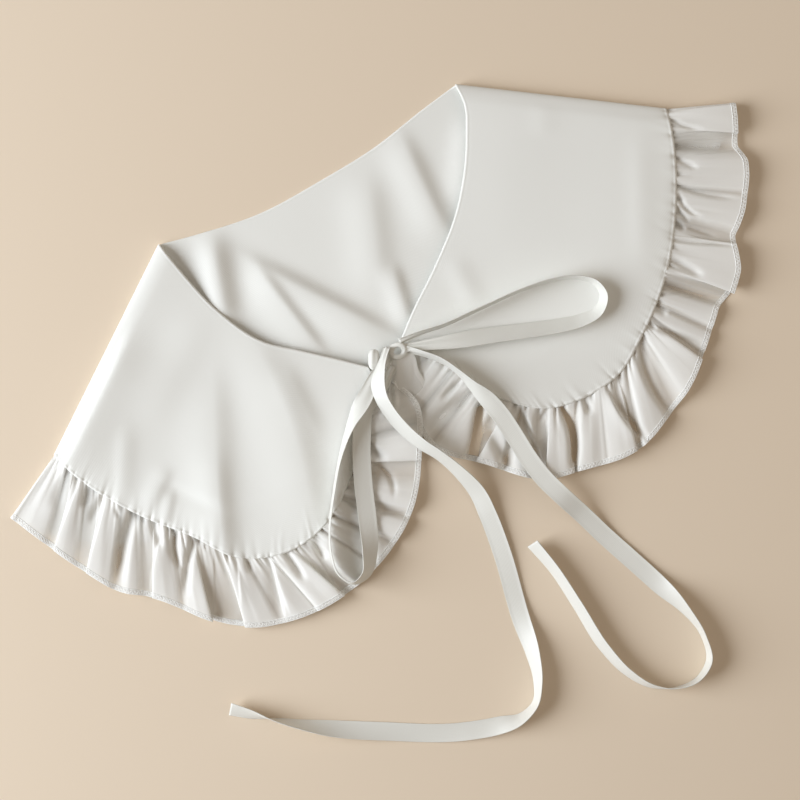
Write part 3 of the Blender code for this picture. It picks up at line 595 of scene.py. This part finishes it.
def hem_rays(folds, start_z, end_z, hem_length, seam_length, ends_rolled):
    """Turns the fold table into points across the hem: place along hem, height, place along seam, and how
    bunched the cloth is, from 0 in a hollow to 1 on a crest. A tucked side gets two points, the crest's edge
    above and the cloth beneath it."""
    rays = [(0.0, start_z, 0.0, 1.0)]
    if ends_rolled[0]:
        rays += rolled_end(start_z, folds[0][3] if start_z > FOLD_RADIUS + REST_HEIGHT else folds[0][6])
    for seam, hem, half, height, tuck_a, tuck_b, dip in folds:
        before = rays[-1][1]
        if tuck_a:
            rays.append((hem - half + tuck_a, before + TUCK_LIFT, None, TUCK_LAYERS))
        rays.append((hem - half, CREST_EDGE * height, None, 1.0))
        rays.append((hem, height, seam, 1.0))
        rays.append((hem + half, CREST_EDGE * height, None, 1.0))
        if tuck_b:
            rays.append((hem + half - tuck_b, dip + TUCK_LIFT, None, TUCK_LAYERS))
        following = [row for row in folds if row[1] > hem]
        limit = following[0][1] - following[0][2] if following else hem_length - HEM_END
        middle = 0.5 * (hem + half + limit)
        rays.append((middle, dip, None, 0.0))
    if ends_rolled[1]:
        rays += [(hem_length - at, z, None, 0.5) for at, z, *_ in rolled_end(end_z, folds[-1][6])[::-1]]
    rays.append((hem_length, end_z, seam_length, 0.5))
    return rays


def lengths_at(curve, points, known):
    """Distance along a fine curve at which it passes each of the known points."""
    run = lengths(curve)
    nearest = [np.argmin(np.linalg.norm(curve - points[i], axis=1)) for i in known]
    return run[nearest]


def gathers(on_seam, t, spacing, seed):
    """Small creases that run out from the gathering stitches: each is a narrow bell curve, up or down, across
    the seam that widens and fades with t, the share of the way to the hem. Places, depths and reaches are
    uneven, and the hollows are pinched deeper right beside the stitches."""
    rng = np.random.default_rng(seed)
    count = int(on_seam[-1] / spacing)
    place = (np.arange(count) + rng.uniform(0.1, 0.9, count)) * spacing
    depth = rng.uniform(*GATHER_DEPTH, count) * rng.choice([-1.0, 1.0], count)
    reach = GATHER_REACH[0] + GATHER_REACH[1] * rng.random(count) ** 2
    half = rng.uniform(*GATHER_HALF, count)
    drift = rng.uniform(-GATHER_DRIFT, GATHER_DRIFT, count)
    z = np.zeros((len(on_seam), t.shape[1]))
    for k in range(count):
        side = (on_seam[:, None] - place[k] - drift[k] * t * t) / (half[k] * (1.0 + GATHER_WIDENS * t))
        z += depth[k] * np.exp(-(side**2)) * np.exp(-((t / reach[k]) ** 2))
    return np.where(z < 0.0, z * (1.0 + PINCH * np.exp(-((t / PINCH_REACH) ** 2))), z)


def ruffle(seam_line, hem, folds, creases, gaps, grid, ends_rolled, spacing, depth, wall, seed):
    """A ruffle's middle surface. The hem is a smooth line through the crests, tucks and hollows of the fold
    table, and every point of it is joined to its place on the seam by a ruling that swells in between.
    Creases and small uneven gathers run out from the seam. A fourth value at each point says how dense the
    cloth looks there, from -1 where it gapes to 1 where it lies in layers."""
    hem_line = smooth(hem)
    hem_length, seam_run = lengths(hem_line)[-1], lengths(seam_line)
    rays = hem_rays(folds, seam_line[0, 2], seam_line[-1, 2], hem_length, seam_run[-1], ends_rolled)
    at = np.array([ray[0] for ray in rays])
    height = np.array([ray[1] for ray in rays])
    edge = np.column_stack([sample(hem_line, at), height])
    curve = smooth_3d(edge, np.linspace(0.0, 1.0, PER_RAY * len(rays)))
    run = lengths(curve)
    known = [i for i, ray in enumerate(rays) if ray[2] is not None]
    marks = lengths_at(curve, edge, known)
    spots = np.maximum.accumulate(lengths_at(curve, edge, range(len(rays))))
    share = roll_stations(run[-1], sum(ends_rolled), grid[0])
    hem_points = sample(curve, share)
    on_seam = np.interp(share, marks, [rays[i][2] for i in known])
    bunched = np.interp(share, spots, [ray[3] for ray in rays])[:, None]
    seam_points = np.stack([np.interp(on_seam, seam_run, seam_line[:, i]) for i in range(3)], axis=-1)
    width = np.linalg.norm((hem_points - seam_points)[:, :2], axis=1)
    t = np.linspace(0.0, 1.0, grid[1])[None, :]
    t = (SEAM_GAP / width)[:, None] + (1.0 - (SEAM_GAP / width)[:, None]) * t
    plan = seam_points[:, None, :2] * (1 - t[..., None]) + hem_points[:, None, :2] * t[..., None]
    lift = (hem_points[:, 2] - seam_points[:, 2])[:, None]
    swell = CREST_BULGE * np.clip(lift / CREST_FULL, 0.0, 1.0) * 4 * t * (1 - t)
    z = seam_points[:, 2][:, None] + lift * (1.0 - (1.0 - t) ** CREST_RISE) + swell
    small = gathers(on_seam, t, spacing, seed)
    crisp = relief(plan[..., 0], plan[..., 1], creases)
    open_gap = relief(plan[..., 0], plan[..., 1], gaps)
    layers = bunched + CREASE_SHEER * np.minimum(crisp, 0.0) + GATHER_SHEER * small - open_gap
    z = np.maximum(z - SEAM_STEP + depth * small + crisp, wall / 2)
    return np.dstack([plan, z, np.clip(layers, -1.0, 1.0)])


def ribbon(route, rows, width, wall, opens, both_ends):
    """A ribbon's middle line and middle surface: a straight line across it, rolled about the route, is
    carried along it. Where the knot holds it, it is narrow and its spare width stands in lengthwise folds."""
    line = smooth(route, 1200)
    run = lengths(line[:, :3])
    at = np.linspace(0.0, run[-1], rows)
    middle = np.stack([np.interp(at, run, line[:, i]) for i in range(3)], axis=-1)
    roll = np.radians(np.interp(at, run, line[:, 3]))[:, None]
    along = unit(np.gradient(middle, axis=0))
    side = unit(np.cross([0.0, 0.0, 1.0], along))
    lean = np.cross(along, side)
    across = np.cos(roll) * side + np.sin(roll) * lean
    face = np.cross(along, across)
    near = np.minimum(at, run[-1] - at) if both_ends else at
    opened = np.clip(near / opens, 0.0, 1.0)
    opened = opened * opened * (3 - 2 * opened)
    half = 0.5 * (RIBBON_KNOTTED + (width - RIBBON_KNOTTED) * opened)[:, None]
    middle[:, 2:] += half * np.sin(roll) + wall / 2 * np.abs(np.cos(roll))
    u = np.sin(0.5 * np.pi * np.linspace(-1.0, 1.0, RIBBON_COLUMNS))[None, :, None]
    fold = GATHERED_FOLD * (1 - opened)[:, None, None] * np.cos(1.5 * np.pi * u)
    edge = np.clip((np.abs(u) - SELVEDGE_AT[0]) / SELVEDGE_AT[1], 0.0, 1.0)
    fold = fold + SELVEDGE * edge * opened[:, None, None]
    return middle, middle[:, None] + across[:, None] * half[:, None] * u + face[:, None] * fold


def knot_ring():
    """The knot's surface: a thick ring whose strand swells and thins two and three times on its way round,
    with five faint ridges that wind along it."""
    a = np.linspace(0.0, 2 * np.pi, KNOT_GRID[0], endpoint=False)[:, None]
    b = np.linspace(0.0, 2 * np.pi, KNOT_GRID[1], endpoint=False)[None, :]
    strand = KNOT_STRAND * (1.0 + KNOT_SWELL[0] * np.cos(2 * a + 0.6) + KNOT_SWELL[1] * np.cos(3 * a))
    strand = strand * (1.0 + KNOT_RIPPLE * np.cos(5 * b + 2 * a))
    out = KNOT_RING * (1.0 + 0.08 * np.cos(2 * a)) + strand * np.cos(b)
    x, y = out * np.cos(a), out * np.sin(a)
    z = strand * np.sin(b) + KNOT_TILT * KNOT_RING * np.sin(2 * a)
    return np.dstack([x + KNOT_X, y + KNOT_Y, z + KNOT_Z])


def tube(path, reference, radius, sides=4):
    """A thread along a path: a small polygon round each point, square to the path."""
    along = unit(np.gradient(path, axis=0))
    side = unit(np.cross(along, reference))
    up = np.cross(side, along)
    angle = np.linspace(0.0, 2 * np.pi, sides, endpoint=False)[None, :, None]
    return path[:, None] + radius * (np.cos(angle) * side[:, None] + np.sin(angle) * up[:, None])


def cloth_uv(grid):
    """Where each point lies on the flat cloth, in metres: along the piece, and in from its last column."""
    along = np.broadcast_to(lengths(grid[:, grid.shape[1] // 2])[:, None], grid.shape[:2])
    step = np.linalg.norm(np.diff(grid, axis=1), axis=2)
    across = np.concatenate([np.zeros((len(grid), 1)), np.cumsum(step, axis=1)], axis=1)
    return np.dstack([along, across[:, -1:] - across]) * MM


def quads_of(rows, columns, closed_rows=False, closed_columns=False):
    """Corner numbers of the quads of a grid, which may close on itself either way."""
    index = np.arange(rows * columns).reshape(rows, columns)
    if closed_rows:
        index = np.vstack([index, index[:1]])
    if closed_columns:
        index = np.hstack([index, index[:, :1]])
    return np.stack([index[:-1, :-1], index[1:, :-1], index[1:, 1:], index[:-1, 1:]], axis=-1).reshape(-1, 4)


def piece(name, grids, finish, closed=(False, False), wall=0.0):
    """A named object from grids of points in plan millimetres, with the material of the name in finish. It
    rides on the part's one body. A fourth value at each point, how dense the cloth looks there, goes into a
    map of its own."""
    points, quads, uvs, layers, start = [], [], [], [], 0
    for grid in grids:
        rows, columns = grid.shape[:2]
        quads.append(quads_of(rows, columns, *closed) + start)
        points.append(grid.reshape(rows * columns, -1)[:, :3])
        uvs.append(cloth_uv(grid[..., :3]).reshape(-1, 2))
        layers.append(grid.reshape(rows * columns, -1)[:, 3:])
        start += rows * columns
    points, quads, uvs, layers = np.vstack(points), np.vstack(quads), np.vstack(uvs), np.vstack(layers)
    points = (points - [ORIGIN_X, ORIGIN_Y, 0.0]) * MM
    mesh = bpy.data.meshes.new(name)
    mesh.vertices.add(len(points))
    mesh.vertices.foreach_set("co", points.astype(np.float32).ravel())
    mesh.loops.add(quads.size)
    mesh.loops.foreach_set("vertex_index", quads.astype(np.int32).ravel())
    mesh.polygons.add(len(quads))
    mesh.polygons.foreach_set("loop_start", np.arange(0, quads.size, 4, dtype=np.int32))
    mesh.update(calc_edges=True)
    mesh.uv_layers.new(name="cloth").data.foreach_set("uv", uvs[quads.ravel()].astype(np.float32).ravel())
    if layers.size:
        dense = np.hstack([np.zeros_like(layers), layers])[quads.ravel()]
        mesh.uv_layers.new(name="layers").data.foreach_set("uv", dense.astype(np.float32).ravel())
    mesh.materials.append(finish_named(finish))
    mesh.shade_smooth()
    thing = bpy.data.objects.new(name, mesh)
    bpy.context.scene.collection.objects.link(thing)
    if wall:
        shell = thing.modifiers.new("wall", "SOLIDIFY")
        shell.thickness = wall * MM
        shell.offset = 0.0
        shell.use_rim = True
    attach(thing, "root")
    return thing


def add_node(tree, kind, settings, inputs):
    """A node with its settings; each input is a value, or the output socket that feeds it."""
    node = tree.nodes.new(kind)
    for name, value in settings.items():
        setattr(node, name, value)
    for name, value in inputs.items():
        if isinstance(value, bpy.types.NodeSocket):
            tree.links.new(value, node.inputs[name])
        else:
            node.inputs[name].default_value = value
    return node


def new_finish(name):
    """An empty material and its node tree."""
    finish = bpy.data.materials.new(name)
    finish.use_nodes = True
    finish.node_tree.nodes.clear()
    return finish, finish.node_tree


def woven_face(tree, colour, pattern, strength, depth, lustre):
    """A cloth's lit face in its colour: a pattern's fine relief, and the values of its lustre."""
    bump = add_node(tree, "ShaderNodeBump", {},
                    {"Strength": strength, "Distance": depth, "Height": pattern.outputs["Fac"]})
    return add_node(tree, "ShaderNodeBsdfPrincipled", {},
                    {"Base Color": colour, "Normal": bump.outputs["Normal"], **lustre})


def polyester_satin(colours):
    """Woven polyester satin, crisply pressed. Its long floats give a soft broad sheen over a faint rib."""
    finish, tree = new_finish("polyester_satin_white")
    uv = add_node(tree, "ShaderNodeUVMap", {"uv_map": "cloth"}, {})
    place = add_node(tree, "ShaderNodeTexCoord", {}, {})
    rib = add_node(tree, "ShaderNodeTexWave", {"wave_type": "BANDS", "bands_direction": "DIAGONAL"},
                   {"Vector": uv.outputs["UV"], "Scale": SATIN_RIB, "Distortion": 1.2, "Detail": 1.0})
    tone = add_node(tree, "ShaderNodeTexNoise", {},
                    {"Vector": place.outputs["Object"], "Scale": 14.0, "Detail": 3.0})
    shade = add_node(tree, "ShaderNodeMapRange", {},
                     {"Value": tone.outputs["Fac"], "To Min": 0.965, "To Max": 1.0})
    tint = add_node(tree, "ShaderNodeVectorMath", {"operation": "SCALE"},
                    {0: tuple(colours.satin), "Scale": shade.outputs["Result"]})
    cloth = woven_face(tree, tint.outputs["Vector"], rib, 0.10, RELIEF_DEPTH,
                       {"Roughness": 0.72, "Specular IOR Level": 0.3, "Sheen Weight": 0.25,
                        "Sheen Roughness": 0.4})
    add_node(tree, "ShaderNodeOutputMaterial", {}, {"Surface": cloth.outputs["BSDF"]})
    return finish


def polyester_voile(colours):
    """Thin plain-woven voile, so open that what lies under it shows faintly through, and some light with it.
    Its stitched hem and the places where it lies in layers are the densest."""
    finish, tree = new_finish("polyester_voile_white")
    uv = add_node(tree, "ShaderNodeUVMap", {"uv_map": "cloth"}, {})
    split = add_node(tree, "ShaderNodeSeparateXYZ", {}, {"Vector": uv.outputs["UV"]})
    bunched = add_node(tree, "ShaderNodeUVMap", {"uv_map": "layers"}, {})
    layers = add_node(tree, "ShaderNodeSeparateXYZ", {}, {"Vector": bunched.outputs["UV"]})
    dense = add_node(tree, "ShaderNodeMapRange", {},
                     {"Value": layers.outputs["Y"], "From Min": -1.0, "To Min": VOILE_GAPING,
                      "To Max": VOILE_LAYERED})
    weave = add_node(tree, "ShaderNodeTexNoise", {},
                     {"Vector": uv.outputs["UV"], "Scale": VOILE_WEAVE, "Detail": 2.0})
    band = add_node(tree, "ShaderNodeMapRange", {"interpolation_type": "SMOOTHSTEP"},
                    {"Value": split.outputs["Y"], "From Min": HEM_BAND[0], "From Max": HEM_BAND[1],
                     "To Min": VOILE_HEM, "To Max": dense.outputs["Result"]})
    face = woven_face(tree, (*colours.voile, 1.0), weave, 0.12, RELIEF_DEPTH,
                      {"Roughness": 0.6, "Sheen Weight": 0.45})
    glow = add_node(tree, "ShaderNodeBsdfTranslucent", {}, {"Color": (*colours.voile_glow, 1.0)})
    cloth = add_node(tree, "ShaderNodeMixShader", {},
                     {0: TRANSLUCENT, 1: face.outputs["BSDF"], 2: glow.outputs["BSDF"]})
    clear = add_node(tree, "ShaderNodeBsdfTransparent", {}, {})
    woven = add_node(tree, "ShaderNodeMixShader", {},
                     {0: band.outputs["Result"], 1: clear.outputs["BSDF"], 2: cloth.outputs["Shader"]})
    add_node(tree, "ShaderNodeOutputMaterial", {}, {"Surface": woven.outputs["Shader"]})
    return finish


def satin_ribbon(colours):
    """Narrow woven satin ribbon: smooth and a little glossier than the panels, with a fine rib along it."""
    finish, tree = new_finish("satin_ribbon_white")
    uv = add_node(tree, "ShaderNodeUVMap", {"uv_map": "cloth"}, {})
    rib = add_node(tree, "ShaderNodeTexWave", {"wave_type": "BANDS", "bands_direction": "Y"},
                   {"Vector": uv.outputs["UV"], "Scale": RIBBON_RIB, "Distortion": 0.6})
    face = woven_face(tree, (*colours.ribbon, 1.0), rib, 0.12, RELIEF_DEPTH,
                      {"Roughness": 0.45, "Sheen Weight": 0.2})
    add_node(tree, "ShaderNodeOutputMaterial", {}, {"Surface": face.outputs["BSDF"]})
    return finish


def spun_thread(colours):
    """Spun polyester sewing thread: matt white, with its ply as a fine twist."""
    finish, tree = new_finish("spun_polyester_thread")
    uv = add_node(tree, "ShaderNodeUVMap", {"uv_map": "cloth"}, {})
    ply = add_node(tree, "ShaderNodeTexWave", {"wave_type": "BANDS", "bands_direction": "DIAGONAL"},
                   {"Vector": uv.outputs["UV"], "Scale": THREAD_PLY})
    face = woven_face(tree, (*colours.thread, 1.0), ply, 0.3, RELIEF_DEPTH / 2,
                      {"Roughness": 0.6, "Sheen Weight": 0.3})
    add_node(tree, "ShaderNodeOutputMaterial", {}, {"Surface": face.outputs["BSDF"]})
    return finish


def matt_card(colours):
    """Coated card for the floor: plain and matt, with hardly any tone of its own."""
    finish, tree = new_finish("matt_card")
    face = add_node(tree, "ShaderNodeBsdfPrincipled", {},
                    {"Base Color": (*colours.floor, 1.0), "Roughness": 0.7, "Specular IOR Level": 0.25})
    add_node(tree, "ShaderNodeOutputMaterial", {}, {"Surface": face.outputs["BSDF"]})
    return finish


FINISHES = {
    "polyester_satin_white": polyester_satin,
    "polyester_voile_white": polyester_voile,
    "satin_ribbon_white": satin_ribbon,
    "spun_polyester_thread": spun_thread,
}


def finish_named(name):
    """The material of that name, made the first time it is asked for."""
    return bpy.data.materials.get(name) or FINISHES[name](bpy.context.scene.collar_colours)


def panel_grids():
    """Middle surfaces of the three panels, named as their solids."""
    gap = bpy.context.scene.collar_sizes.gather_spacing / MM
    left = (LEFT_NECK, LEFT_SEAM, NAPE_LEFT, SHOULDER_LEFT, LEFT_RELIEF, gap, PANEL_SEEDS["left"])
    right = (RIGHT_NECK, RIGHT_SEAM, NAPE_RIGHT, SHOULDER_RIGHT, RIGHT_RELIEF, gap, PANEL_SEEDS["right"])
    return {"back": back_panel(), "front_left": front_panel(*left), "front_right": front_panel(*right)}


def make_panels():
    sizes = bpy.context.scene.collar_sizes
    for node, grid in panel_grids().items():
        panel = piece("panel_" + node, [grid], "polyester_satin_white", wall=sizes.body_wall / MM)
        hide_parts(node)


def ruffle_grids():
    """Middle surfaces of the three runs of the ruffle, named as their solids."""
    sizes = bpy.context.scene.collar_sizes
    spacing, wall = sizes.gather_spacing / MM, sizes.voile_wall / MM
    panels = panel_grids()
    back = panels["back"]
    seam_length, hem_length = lengths(back[:, -1])[-1], lengths(smooth(BACK_HEM))[-1]
    back_folds = [
        (share * seam_length, share * hem_length, BACK_FOLD_HALF, BACK_FOLD_HEIGHT, 0.0, 0.0, BACK_FOLD_DIP)
        for share in (np.arange(BACK_FOLDS) + 0.5) / BACK_FOLDS
    ]
    back_run = ruffle(back[:, -1], BACK_HEM, back_folds, [], [], BACK_RUFFLE_GRID, (True, True),
                      spacing, BACK_GATHER, wall, RUFFLE_SEEDS["back"])
    runs = {"ruffle_back": back_run}
    sides = (("left", LEFT_HEM, LEFT_FOLDS, LEFT_CREASES, []),
             ("right", RIGHT_HEM, RIGHT_FOLDS, RIGHT_CREASES, RIGHT_GAPS))
    for side, hem, folds, creases, gaps in sides:
        seam = panels["front_" + side][:, -1] + [0.0, 0.0, SEAM_STEP]
        front_run = ruffle(seam, hem, folds, creases, gaps, FRONT_RUFFLE_GRID, (True, False),
                           spacing, FRONT_GATHER, wall, RUFFLE_SEEDS[side])
        runs["ruffle_front_" + side] = front_run
    return runs


def bunched_end():
    """The ruffles' gathered ends, bunched under the knot: straight rulings from top to foot, which belly up
    as half a sine wave and carry a fan of unequal pleats that deepen downwards."""
    t = np.linspace(0.0, 1.0, BUNCH_GRID[0])[:, None]
    u = np.linspace(0.0, 1.0, BUNCH_GRID[1])[None, :]
    top = np.array(BUNCH_TOP[0]) + (np.array(BUNCH_TOP[1]) - BUNCH_TOP[0]) * u[..., None]
    foot = np.array(BUNCH_FOOT[0]) + (np.array(BUNCH_FOOT[1]) - BUNCH_FOOT[0]) * u[..., None]
    grid = top * (1 - t[..., None]) + foot * t[..., None]
    pleats = np.cos(2 * np.pi * (2.1 * u + 0.25 * np.sin(5.0 * u) + 0.3 * t))
    pleats = pleats + 0.2 * np.cos(9.0 * t + 14.0 * u)
    belly = BUNCH_BELLY * np.sin(np.pi * u) * (1.0 - 0.5 * t)
    z = grid[..., 2] + BUNCH_PLEAT * (0.4 + 0.6 * t) * pleats + belly
    x = grid[..., 0] + 0.5 * np.sin(9.0 * t + 6.0 * u)
    y = grid[..., 1] - BUNCH_HANG * t * np.sin(np.pi * u)
    layers = BUNCH_LAYERS[0] + (BUNCH_LAYERS[1] - BUNCH_LAYERS[0]) * t
    return np.dstack([x, y, z, np.broadcast_to(layers, z.shape)])


def make_ruffles():
    wall = bpy.context.scene.collar_sizes.voile_wall / MM
    for node, grid in ruffle_grids().items():
        strip = piece("voile_" + node, [grid], "polyester_voile_white", wall=wall)
        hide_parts(node)
    piece("voile_bunched_end", [bunched_end()], "polyester_voile_white", wall=wall)


def overlock(grid, width, pitch, radius):
    """Threads of an overlocked hem: a zigzag on top, one underneath, a line along the edge and one along the
    stitches. A zigzag's distance in from the edge is a triangle wave of the place along the hem."""
    run = lengths(grid[:, -1])
    inward = unit(grid[:, -4] - grid[:, -1])
    along = unit(np.gradient(grid[:, -1], axis=0))
    up = unit(np.cross(inward, along))
    up = up * np.sign(np.median(up[:, 2]))
    at = np.arange(0.0, run[-1], pitch / OVERLOCK_POINTS)

    def on_hem(values):
        return np.stack([np.interp(at, run, values[:, i]) for i in range(3)], axis=-1)

    edge, inward, along, up = on_hem(grid[:, -1]), unit(on_hem(inward)), unit(on_hem(along)), unit(on_hem(up))
    threads = []
    for shift, lift in ((0.0, OVERLOCK_LIFT), (0.5, -OVERLOCK_LIFT)):
        wave = 1.0 - np.abs(2.0 * ((at / pitch + shift) % 1.0) - 1.0)
        inset = (width + OVERLOCK_PAST) * wave - OVERLOCK_PAST
        path = edge + inward * inset[:, None] + up * (lift * np.minimum(1.0, 4 * wave))[:, None]
        path[:, 2] = np.maximum(path[:, 2], radius)
        threads.append(tube(path, along, radius))
    threads.append(tube(edge - inward * radius / 2, up, radius * EDGE_THREAD))
    threads.append(tube(edge + inward * width + up * STITCH_LIFT, up, radius))
    return threads


def make_hems():
    sizes = bpy.context.scene.collar_sizes
    width, pitch, radius = sizes.overlock_width / MM, sizes.overlock_pitch / MM, sizes.thread / MM
    for node, grid in ruffle_grids().items():
        threads = overlock(grid[..., :3], width, pitch, radius)
        piece("overlock_" + node, threads, "spun_polyester_thread", closed=(False, True))


def make_ribbons():
    sizes = bpy.context.scene.collar_sizes
    width, wall = sizes.ribbon_width / MM, sizes.ribbon_wall / MM
    strands = (
        ("tie_tail_left", LEFT_TAIL, TAIL_ROWS, TAIL_OPENS, False, "bare"),
        ("tie_tail_right", RIGHT_TAIL, TAIL_ROWS, TAIL_OPENS, False, "bare"),
        ("bow_loop_left", LEFT_LOOP, LEFT_LOOP_ROWS, LOOP_OPENS, True, "object"),
        ("bow_loop_right", RIGHT_LOOP, RIGHT_LOOP_ROWS, LOOP_OPENS, True, "object"),
    )
    for node, route, rows, opens, both_ends, far_end in strands:
        middle, grid = ribbon(route, rows, width, wall, opens, both_ends)
        band = piece("ribbon_" + node, [grid], "satin_ribbon_white", wall=wall)
        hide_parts(node)


def sewn_end():
    """The gathered end of the left tie where it is sewn to the front's corner: circles carried along a line,
    full in the middle and closed at both ends, with five flutes that wind round and fade."""
    t = np.linspace(0.0, 1.0, SEWN_GRID[0])[:, None]
    b = np.linspace(0.0, 2 * np.pi, SEWN_GRID[1], endpoint=False)[None, :]
    swell = np.sqrt(np.clip(1.0 - np.abs(2.0 * t - 1.0) ** 3, 0.0, 1.0))
    radius = SEWN_RADIUS * swell * (1.0 + SEWN_FLUTE * np.cos(5 * b + 1.5 * t) * (1.0 - 0.5 * t))
    start, end = np.array(SEWN_FROM), np.array(SEWN_TO)
    along = unit(end - start)
    side = unit(np.cross(along, [0.0, 0.0, 1.0]))
    up = np.cross(side, along)
    middle = start + (end - start) * t
    around = np.cos(b)[..., None] * side + np.sin(b)[..., None] * up
    return middle[:, None] + radius[..., None] * around


def make_knot():
    knot = piece("ribbon_bow_knot", [knot_ring()], "satin_ribbon_white", closed=(True, True))
    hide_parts("bow_knot")
    piece("ribbon_sewn_end", [sewn_end()], "satin_ribbon_white", closed=(False, True))


def area_light(name, place, target, extent, power, code):
    """A round soft light at a place, turned to face its target."""
    lamp = bpy.data.lights.new(name, "AREA")
    lamp.shape = "DISK"
    lamp.size = extent
    lamp.energy = power
    lamp.color = linear(code)
    thing = bpy.data.objects.new(name, lamp)
    bpy.context.scene.collection.objects.link(thing)
    thing.location = place
    heading = np.array(target) - np.array(place)
    thing.rotation_mode = "XYZ"
    flat = np.hypot(heading[0], heading[1])
    thing.rotation_euler = (np.pi / 2 - np.arctan2(-heading[2], flat), 0.0,
                            np.arctan2(-heading[0], heading[1]))


def make_stage():
    scene = bpy.context.scene
    centre = np.array([VIEW_X - ORIGIN_X, VIEW_Y - ORIGIN_Y, 0.0]) * MM
    turn = np.radians(VIEW_TURN)
    right = np.array([np.cos(turn), np.sin(turn), 0.0])
    up = np.array([-np.sin(turn), np.cos(turn), 0.0])

    far = FLOOR_HALF
    mesh = bpy.data.meshes.new("floor")
    mesh.from_pydata([(-far, -far, 0), (far, -far, 0), (far, far, 0), (-far, far, 0)], [], [(0, 1, 2, 3)])
    mesh.materials.append(matt_card(scene.collar_colours))
    floor = bpy.data.objects.new("floor", mesh)
    scene.collection.objects.link(floor)

    for name, ((across, along, above), extent, power, code) in LIGHTS.items():
        place = centre + across * right + along * up + [0, 0, above]
        area_light(name, place, centre, extent, power, code)

    world = bpy.data.worlds.new("studio")
    world.use_nodes = True
    sky = world.node_tree.nodes["Background"].inputs
    sky["Color"].default_value = (*linear(SKY_COLOUR), 1.0)
    sky["Strength"].default_value = SKY_STRENGTH
    scene.world = world
    scene.view_settings.view_transform = "Standard"

    camera = bpy.data.objects.new("camera", bpy.data.cameras.new("camera"))
    scene.collection.objects.link(camera)
    camera.location = centre + [0.0, 0.0, CAMERA_HEIGHT]
    camera.rotation_euler = (0.0, 0.0, turn)
    camera.data.sensor_width = 36.0
    camera.data.lens = 36.0 * CAMERA_HEIGHT / (VIEW_WIDTH * MM)
    scene.camera = camera


class CollarPanels(Operator):
    """Make the back and the two fronts in satin"""
    bl_idname = "false_collar.panels"
    bl_label = "Panels"

    def execute(self, context):
        make_panels()
        return {"FINISHED"}


class CollarRuffles(Operator):
    """Make the three runs of the gathered ruffle"""
    bl_idname = "false_collar.ruffles"
    bl_label = "Ruffles"

    def execute(self, context):
        make_ruffles()
        return {"FINISHED"}


class CollarHems(Operator):
    """Overlock the ruffle's hem"""
    bl_idname = "false_collar.hems"
    bl_label = "Overlocked hems"

    def execute(self, context):
        make_hems()
        return {"FINISHED"}


class CollarRibbons(Operator):
    """Make the tails and the loops of the ribbon ties"""
    bl_idname = "false_collar.ribbons"
    bl_label = "Ribbons"

    def execute(self, context):
        make_ribbons()
        return {"FINISHED"}


class CollarKnot(Operator):
    """Make the knot of the bow"""
    bl_idname = "false_collar.knot"
    bl_label = "Knot"

    def execute(self, context):
        make_knot()
        return {"FINISHED"}


class CollarStage(Operator):
    """Set up the floor, the lights and the camera"""
    bl_idname = "false_collar.stage"
    bl_label = "Stage"

    def execute(self, context):
        make_stage()
        return {"FINISHED"}


OPERATORS = (CollarStage, CollarRibbons, CollarPanels, CollarRuffles, CollarHems, CollarKnot)


class CollarPanel(Panel):
    """Lists the collar's sizes, colours and making steps"""
    bl_idname = "VIEW3D_PT_false_collar"
    bl_label = "False collar"
    bl_space_type = "VIEW_3D"
    bl_region_type = "UI"
    bl_category = "Collar"

    def draw(self, context):
        for group in (context.scene.collar_sizes, context.scene.collar_colours):
            for name in group.__annotations__:
                self.layout.prop(group, name)
        for step in OPERATORS:
            self.layout.operator(step.bl_idname)


CLASSES = (ClothSizes, ClothColours, *OPERATORS, CollarPanel)


def register():
    for kind in CLASSES:
        bpy.utils.register_class(kind)
    bpy.types.Scene.collar_sizes = PointerProperty(type=ClothSizes)
    bpy.types.Scene.collar_colours = PointerProperty(type=ClothColours)


def unregister():
    del bpy.types.Scene.collar_colours
    del bpy.types.Scene.collar_sizes
    for kind in reversed(CLASSES):
        bpy.utils.unregister_class(kind)


def main():
    register()
    bpy.ops.false_collar.stage()
    bpy.ops.false_collar.ribbons()
    bpy.ops.false_collar.panels()
    bpy.ops.false_collar.ruffles()
    bpy.ops.false_collar.hems()
    bpy.ops.false_collar.knot()


if __name__ == "__main__":
    main()
